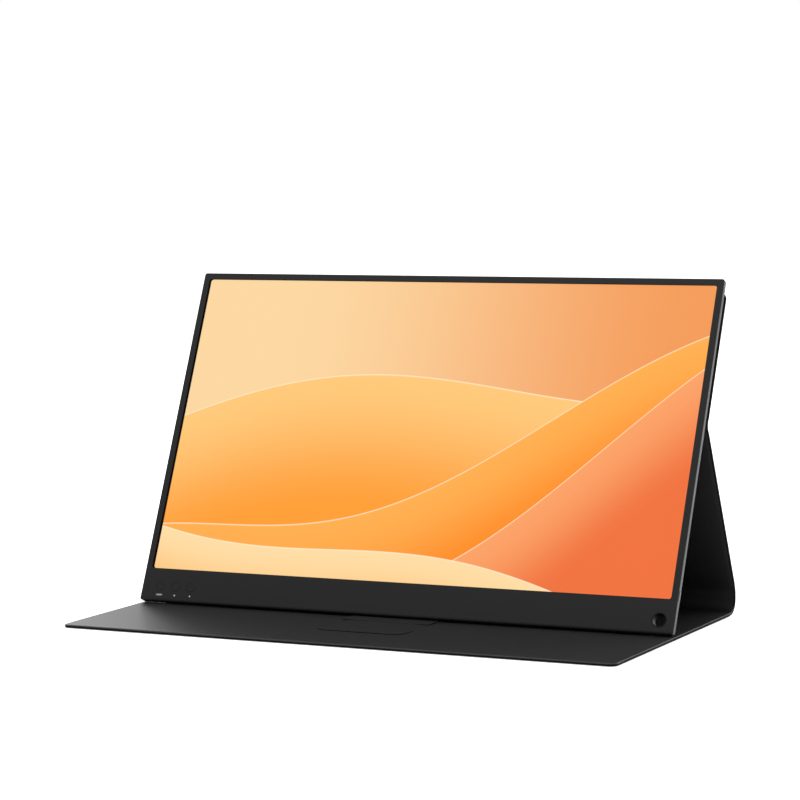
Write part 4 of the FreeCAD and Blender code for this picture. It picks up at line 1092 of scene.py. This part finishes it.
@dataclass
class FootStop:
    """The thin patch on the base and the raised lip that the foot stands behind."""

    thickness: float = 0.35 * MM
    corner: float = 7.0 * MM
    edge_radius: float = 0.08 * MM
    fade_width: float = 12.0 * MM
    fade_length: float = 14.0 * MM
    lip_corner: float = 0.6 * MM
    nose: float = 0.45 * MM
    slope: float = 10.5 * MM
    sink: float = 0.05 * MM
    even_columns: int = 9
    fade_columns: int = 17
    patch_rows: int = 25
    lip_rows: int = 40

    def build(self) -> None:
        """Builds the patch and the lip on the base's inside face."""
        # The rims of the patch and the lip take the near-black edge paint: painted shadow lines along their edges.
        finishes = [choice.value.material() for choice in (Cover.LINING, Cover.EDGE_PAINT_AND_SHADE)]
        low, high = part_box("stop_pad")
        middle, half = (low.x + high.x) / 2, (high.x - low.x) / 2
        front, floor = low.y + self.corner, low.z

        def on_base(points: np.ndarray) -> np.ndarray:
            """Carries the patch and the lip onto the base."""
            return points + np.array([middle, 0.0, floor])

        def patch(x: np.ndarray, s: np.ndarray) -> np.ndarray:
            """The patch's height: even at the front, sinking away towards its two sides behind the corners.

            Args:
                x: places across.
                s: places along.

            Returns:
                The height at each place.
            """
            behind = smooth(front, front + self.fade_length, s)
            inward = smooth(0.0, self.fade_width, half - self.edge_radius - np.abs(x))
            return self.thickness * (1.0 - behind * (1.0 - inward))

        even = np.linspace(-1.0, 1.0, self.even_columns)
        fade = np.linspace(0.5, 1.0, self.fade_columns)
        pad = Slab(half, low.y, high.y, patch, flat_height(-self.sink), self.edge_radius, self.corner, 0.0,
                   True, False, np.linspace(low.y, high.y, self.patch_rows),
                   np.concatenate([even, -fade, fade]), finishes=(0, 0, 1, 1))
        piece = new_piece("stop_patch", pad.surface().placed(on_base), finishes)
        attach(piece, Body.BASE.value)
        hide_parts("stop_pad")

        low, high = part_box("stop_lip")
        height, nose_end = high.z - low.z, low.y

        def wedge(x: np.ndarray, s: np.ndarray) -> np.ndarray:
            """The lip's height: from the nose to its full height by a quarter sine, then level."""
            share = np.clip((s - nose_end) / self.slope, 0.0, 1.0)
            return self.nose + (height - self.nose) * np.sin(share * QUARTER_TURN)

        lip = Slab(half, low.y, high.y, wedge, flat_height(-self.sink), self.edge_radius, self.lip_corner,
                   self.lip_corner, True, True, np.linspace(low.y, high.y, self.lip_rows), even,
                   finishes=(0, 0, 1, 1))
        piece = new_piece("stop_ridge", lip.surface().placed(on_base), finishes)
        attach(piece, Body.BASE.value)
        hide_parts("stop_lip")


# The display


@dataclass
class DisplayFrame:
    """The display's own frame: u to the right, depth from the front face, v up the face."""

    foot_y: float = -8.8317 * MM
    foot_z: float = 3.9766 * MM

    def __post_init__(self) -> None:
        """Reads the display's lean from the keys' direction of press."""
        press = joint_facts(Joint.KEY)["axis"]
        self.into = np.array([press[1], press[2]])
        self.up = np.array([-press[2], press[1]])

    def place(self, points: np.ndarray) -> np.ndarray:
        """Carries rows of (u, depth, v) into the row frame."""
        flat = np.array([self.foot_y, self.foot_z]) + points[:, 1:2] * self.into + points[:, 2:3] * self.up
        return np.concatenate([points[:, :1], flat], axis=1)

    def at(self, u: float, depth: float, v: float) -> Carry:
        """A function that sets a surface down with its own origin at (u, depth, v)."""
        return lambda points: self.place(points + np.array([u, depth, v]))


@dataclass
class PowerBar:
    """The power button: a bar with rounded ends that stands out of the right wall, on a flange inside it."""

    frame: DisplayFrame
    half_width: float
    rise: float = 23.4 * MM
    depth: float = 2.45 * MM
    length: float = 6.2 * MM
    width: float = 1.9 * MM
    wall: float = 1.2 * MM
    gap: float = 0.1 * MM
    proud: float = 0.15 * MM
    edge: float = 0.12 * MM
    corner: float = 0.6 * MM
    overlap: float = 0.05 * MM
    flange_margin: float = 0.3 * MM
    flange_thickness: float = 0.4 * MM
    flange_edge: float = 0.05 * MM
    flange_corner: float = 0.4 * MM

    def _plate(self, margin: float, top: float, bottom: float, edge: float, corner: float) -> Surface:
        """One plate of the button, turned so that its top faces right, in the display's frame.

        Args:
            margin: how far it reaches past the bar's outline.
            top: the place of its right face across the display.
            bottom: the place of its left face.
            edge: the radius of its edges.
            corner: the radius of its corners.

        Returns:
            The plate's surface in the row frame.
        """
        reach = self.length / 2 + margin
        plate = Slab(self.width / 2 + margin, self.rise - reach, self.rise + reach, flat_height(top),
                     flat_height(bottom), edge, corner, corner, rows=(self.rise,), columns=(0.0,)).surface()
        return plate.placed(lambda points: self.frame.place(
            np.stack([points[:, 2], points[:, 0] + self.depth, points[:, 1]], axis=-1)))

    def build(self) -> None:
        """Builds the bar and its flange as one piece."""
        inner = self.half_width - self.wall - self.gap
        bar = self._plate(0.0, self.half_width + self.proud, inner - self.overlap, self.edge, self.corner)
        flange = self._plate(self.flange_margin, inner, inner - self.flange_thickness, self.flange_edge,
                             self.flange_corner)
        piece = new_piece("power_bar", join([bar, flange]), [SLOT_FINISHES["button_black"].material()])
        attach(piece, Body.POWER.value)
        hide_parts("power_button")


@dataclass
class Display:
    """The display half: lit cell, keys with their printed marks, power bar and pen hole."""

    frame: DisplayFrame
    half_width: float = 176.55 * MM
    screen_width: float = 344.2 * MM
    screen_height: float = 193.6 * MM
    chin: float = 21.2 * MM
    cell_front: float = 1.05 * MM
    polariser: float = 0.15 * MM
    cell_back: float = 1.85 * MM
    cell_border: float = 1.0 * MM
    cell_ledge: float = 5.0 * MM
    cell_edge: float = 0.05 * MM
    cell_corner: float = 0.2 * MM
    cell_rows: int = 9
    cell_columns: int = 13
    key_rise: float = 9.6 * MM
    first_key: float = 12.8 * MM
    key_pitch: float = 10.8 * MM
    key_radius: float = 2.8 * MM
    key_proud: float = 0.05 * MM
    key_round: float = 0.22 * MM
    key_dish: float = 0.10 * MM
    key_seat: float = 1.1 * MM
    key_flange: float = 0.6 * MM
    key_back: float = 1.4 * MM
    key_steps: int = 48
    key_face_steps: int = 9
    key_edge_steps: int = 7
    mark_rise: float = 3.9 * MM
    mark_shift: float = 0.3 * MM
    mark_proud: float = 0.02 * MM
    mark_sink: float = 0.005 * MM
    mark_bar: tuple[float, float] = (4.9 * MM, 0.18 * MM)
    mark_bars: int = 3
    mark_bar_pitch: float = 0.34 * MM
    mark_power: int = 8
    mark_radius: float = 0.75 * MM
    mark_steps: int = 96
    pen_inset: float = 9.5 * MM
    pen_rise: float = 8.0 * MM
    pen_radius: float = 4.0 * MM
    sleeve_radius: float = 4.6 * MM
    sleeve_round: float = 0.28 * MM
    sleeve_steps: int = 64
    sleeve_rim_steps: int = 13
    edge_depth: float = 4.7 * MM

    def build(self) -> None:
        """Builds the display's new pieces."""
        self._screen()
        for index, key in enumerate(("menu_key", "up_key", "down_key")):
            self._key(key, self.key_place(index))
        self._marks()
        self._sleeve()
        PowerBar(self.frame, self.half_width).build()

    def key_place(self, index: int) -> float:
        """The place of a key across the display, counted from the left."""
        return self.first_key - self.half_width + index * self.key_pitch

    def _screen(self) -> None:
        """The display cell: a black plate behind a thin front polariser that carries the lit picture.

        The picture shows to the eye only and throws no light on the cover, as on a dimmed display in a
        bright room.
        """
        low = self.chin - self.cell_ledge
        high = self.chin + self.screen_height + self.cell_border
        half = self.screen_width / 2 + self.cell_border
        picture = ScreenFinish("lit_polariser", self.screen_width / MM, self.screen_height / MM,
                               self.chin / MM)
        black = BLACK_GLASS.material()
        split = self.cell_front + self.polariser
        plan = (
            ("lit_picture", self.cell_front, split, [picture.material(), black]),
            ("display_cell", split, self.cell_back, [black, black]),
        )
        for name, front, back, materials in plan:
            slab = Slab(half, low, high, flat_height(-front), flat_height(-back), self.cell_edge,
                        self.cell_corner, self.cell_corner, rows=np.linspace(low, high, self.cell_rows),
                        columns=np.linspace(-1, 1, self.cell_columns), finishes=(0, 1, 1, 1))
            surface = slab.surface()
            surface.uv = surface.points[:, :2] / MM
            surface.points = self.frame.place(surface.points[:, [0, 2, 1]] * np.array([1.0, -1.0, 1.0]))
            piece = new_piece(name, surface, materials)
            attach(piece, Body.MONITOR.value)
            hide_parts("lcd_cell")
            if front == self.cell_front:
                piece.visible_glossy = piece.visible_diffuse = False

    def _key(self, node: str, u: float) -> None:
        """A round key: a cap dished by a parabola, with a quarter-round edge, on a wider flange.

        Args:
            node: the CAD node and the body of the key.
            u: its place across the display.
        """
        turn = np.linspace(0.0, QUARTER_TURN, self.key_edge_steps)[1:]
        face = np.linspace(0.0, self.key_radius - self.key_round, self.key_face_steps)
        dish = self.key_dish * (1.0 - (face / face[-1]) ** 2) - self.key_proud
        edge_r = self.key_radius - self.key_round * (1.0 - np.sin(turn))
        edge_n = -self.key_proud + self.key_round * (1.0 - np.cos(turn))
        wide = self.key_radius + self.key_flange
        radii = np.concatenate([face, edge_r, [self.key_radius, wide, wide, 0.0]])
        depths = np.concatenate([dish, edge_n, [self.key_seat, self.key_seat, self.key_back, self.key_back]])
        surface = revolved(radii, depths, self.key_steps).placed(self.frame.at(u, 0.0, self.key_rise))
        piece = new_piece(f"{node}_cap", surface, [SLOT_FINISHES["key_black"].material()])
        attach(piece, node)
        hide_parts(node)

    def _marks(self) -> None:
        """Printed marks under the keys: three bars, an arrow up and an arrow down, as thin raised print."""
        length, height = self.mark_bar
        third = FULL_TURN / 3.0

        def triangle(angle: np.ndarray) -> np.ndarray:
            """A triangle's radius by angle, one corner up: half / cos(angle from a side's middle)."""
            return math.cos(third / 2) / np.cos((angle - QUARTER_TURN + third / 2) % third - third / 2)

        def upside_down(angle: np.ndarray) -> np.ndarray:
            """The same triangle with one corner down."""
            return triangle(-angle)

        def bar(angle: np.ndarray) -> np.ndarray:
            """A bar's radius by angle: a superellipse of a high power."""
            across, up = np.abs(2 * np.cos(angle) / length), np.abs(2 * np.sin(angle) / height)
            return 1.0 / (across ** self.mark_power + up ** self.mark_power) ** (1.0 / self.mark_power)

        lines = (np.arange(self.mark_bars) - (self.mark_bars - 1) / 2) * self.mark_bar_pitch
        shapes = [(0, bar, 1.0, line) for line in lines]
        shapes += [(1, triangle, self.mark_radius, 0.0), (2, upside_down, self.mark_radius, 0.0)]
        depths = (-self.mark_proud, -self.mark_proud, self.mark_sink, self.mark_sink)
        marks = []
        for key, shape, size, lift in shapes:
            place = self.frame.at(self.key_place(key) + self.mark_shift, 0.0, self.mark_rise + lift)
            marks.append(revolved((0.0, size, size, 0.0), depths, self.mark_steps, shape).placed(place))
        piece = new_piece("key_marks", join(marks), [PRINT_GREY.material()])
        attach(piece, Body.MONITOR.value)

    def _sleeve(self) -> None:
        """The pen hole's sleeve: a tube whose front rim is rounded over by half an ellipse."""
        wall = self.sleeve_radius - self.pen_radius
        turn = np.linspace(0.0, HALF_TURN, self.sleeve_rim_steps)
        rim_r = self.pen_radius + wall / 2 - wall / 2 * np.cos(turn)
        rim_n = self.sleeve_round * (1.0 - np.sin(turn))
        radii = np.concatenate([[self.pen_radius], rim_r, [self.sleeve_radius, self.pen_radius]])
        depths = np.concatenate([[self.edge_depth], rim_n, [self.edge_depth, self.edge_depth]])
        place = self.frame.at(self.half_width - self.pen_inset, 0.0, self.pen_rise)
        # The sleeve's black is darker than the frame's: painted shade inside the pen hole.
        piece = new_piece("pen_hole_sleeve", revolved(radii, depths, self.sleeve_steps).placed(place),
                          [SLOT_FINISHES["sleeve_black"].material()])
        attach(piece, Body.MONITOR.value)
        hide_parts("pen_sleeve")


# Nodes of the frame, and the studio


def dress_frame() -> None:
    """Gives each CAD node that stays in view the finish of its material slot."""
    made: dict[str, bpy.types.Material] = {}
    for row in frame["record"]["subparts"]:
        node, slot = frame["nodes"][row["node"]], row["material_slot"]
        if node.hide_render or slot not in SLOT_FINISHES:
            continue
        if slot not in made:
            made[slot] = SLOT_FINISHES[slot].material()
        for holder in node.material_slots:
            holder.material = made[slot]
        LOG.info("%s: %s", row["node"], made[slot].name)


@dataclass(frozen=True)
class SoftLight:
    """A square area light: where it stands, what it points at, its side in metres and its power in watts."""

    name: str
    place: tuple[float, float, float]
    aim: tuple[float, float, float]
    size: float
    power: float

    def build(self) -> None:
        """Makes the light."""
        light = bpy.data.lights.new(self.name, "AREA")
        light.shape = "SQUARE"
        light.size = self.size
        light.energy = self.power
        holder = bpy.data.objects.new(self.name, light)
        holder.location = self.place
        holder.rotation_euler = (Vector(self.aim) - Vector(self.place)).to_track_quat("-Z", "Y").to_euler()
        bpy.context.scene.collection.objects.link(holder)


@dataclass
class Studio:
    """A pale floor, soft light and the camera of the photograph.

    The lights stand above, behind on the right for the right-hand edges, and behind on the left for the base.
    """

    focal_px: float = 2964.57
    image_px: float = 800.0
    sensor_mm: float = 36.0
    azimuth: float = 25.524
    elevation: float = 4.872
    roll: float = -0.529
    distance: float = 1806.36 * MM
    target: tuple[float, float, float] = (-14.378 * MM, 31.168 * MM, 130.231 * MM)
    nearest: float = 0.05
    farthest: float = 60.0
    floor_half: float = 12.0
    floor_drop: float = 0.3 * MM
    floor_steps: int = 5
    paper: str = "#F7F7F7"
    paper_roughness: float = 0.7
    paper_specular: float = 0.1
    paper_glow: float = 0.5
    white: str = "#FFFFFF"
    surround: float = 1.0
    lights: tuple[SoftLight, ...] = (
        SoftLight("top_light", (-0.2, -0.6, 2.2), (0.0, 0.0, 0.0), 2.4, 30.0),
        SoftLight("right_light", (1.4, 1.9, 0.9), (0.0, 0.0, 0.1), 1.4, 22.0),
        SoftLight("left_light", (-1.9, 1.5, 0.8), (-0.15, -0.05, 0.0), 1.2, 14.0),
    )

    def build(self) -> None:
        """Makes the floor, the light and the camera."""
        self._floor()
        self._world()
        for light in self.lights:
            light.build()
        self._camera()

    def _floor(self) -> None:
        """A large pale floor just under the base."""
        place = np.linspace(-self.floor_half, self.floor_half, self.floor_steps)
        x, y = np.meshgrid(place, place)
        points = np.stack([x, y, np.full_like(x, -self.floor_drop)], axis=-1).reshape(-1, 3)
        quads = grid_quads(np.arange(x.size).reshape(x.shape))
        # Matt paper, lit through from below: an even white with a soft shadow.
        material, tree = blank_material("white_studio_paper")
        shader = add(tree, "ShaderNodeBsdfPrincipled", {
            "Base Color": linear(self.paper), "Roughness": self.paper_roughness,
            "Specular IOR Level": self.paper_specular, "Emission Strength": self.paper_glow,
            "Emission Color": linear(self.white)})
        add(tree, "ShaderNodeOutputMaterial", {"Surface": shader.outputs[0]})
        surface = Surface(points, quads, points[:, :2], np.zeros(len(quads)))
        floor = new_piece("studio_floor", surface, [material])

    def _world(self) -> None:
        """An even white surround."""
        world = bpy.data.worlds.new("white_surround")
        world.use_nodes = True
        tree = world.node_tree
        tree.nodes.clear()
        light = add(tree, "ShaderNodeBackground", {"Color": linear(self.white), "Strength": self.surround})
        add(tree, "ShaderNodeOutputWorld", {"Surface": light.outputs[0]})
        bpy.context.scene.world = world

    def _camera(self) -> None:
        """The photograph's view: a long lens, on the right of the object and a little above it."""
        azimuth, elevation, roll = (math.radians(v) for v in (self.azimuth, self.elevation, self.roll))
        back = Vector((math.sin(azimuth) * math.cos(elevation), -math.cos(azimuth) * math.cos(elevation),
                       math.sin(elevation)))
        right = Vector((math.cos(azimuth), math.sin(azimuth), 0.0))
        up = back.cross(right)
        turned_right = right * math.cos(roll) + up * math.sin(roll)
        turned_up = up * math.cos(roll) - right * math.sin(roll)
        data = bpy.data.cameras.new("photo_camera")
        data.sensor_width = self.sensor_mm
        data.lens = self.focal_px * self.sensor_mm / self.image_px
        data.clip_start, data.clip_end = self.nearest, self.farthest
        camera = bpy.data.objects.new("photo_camera", data)
        place = Vector(self.target) + back * self.distance
        camera.matrix_world = Matrix((
            (turned_right.x, turned_up.x, back.x, place.x),
            (turned_right.y, turned_up.y, back.y, place.y),
            (turned_right.z, turned_up.z, back.z, place.z),
            (0.0, 0.0, 0.0, 1.0),
        ))
        bpy.context.scene.collection.objects.link(camera)
        bpy.context.scene.camera = camera
        bpy.context.scene.view_settings.view_transform = "Standard"


def main() -> None:
    """Builds the cover, the display and the studio in order."""
    logging.basicConfig(level=logging.INFO, format="%(message)s")
    path = StandPath()
    FoldingCover(path).build()
    FootStop().build()
    Display(DisplayFrame()).build()
    dress_frame()
    Studio().build()


if __name__ == "__main__":
    main()
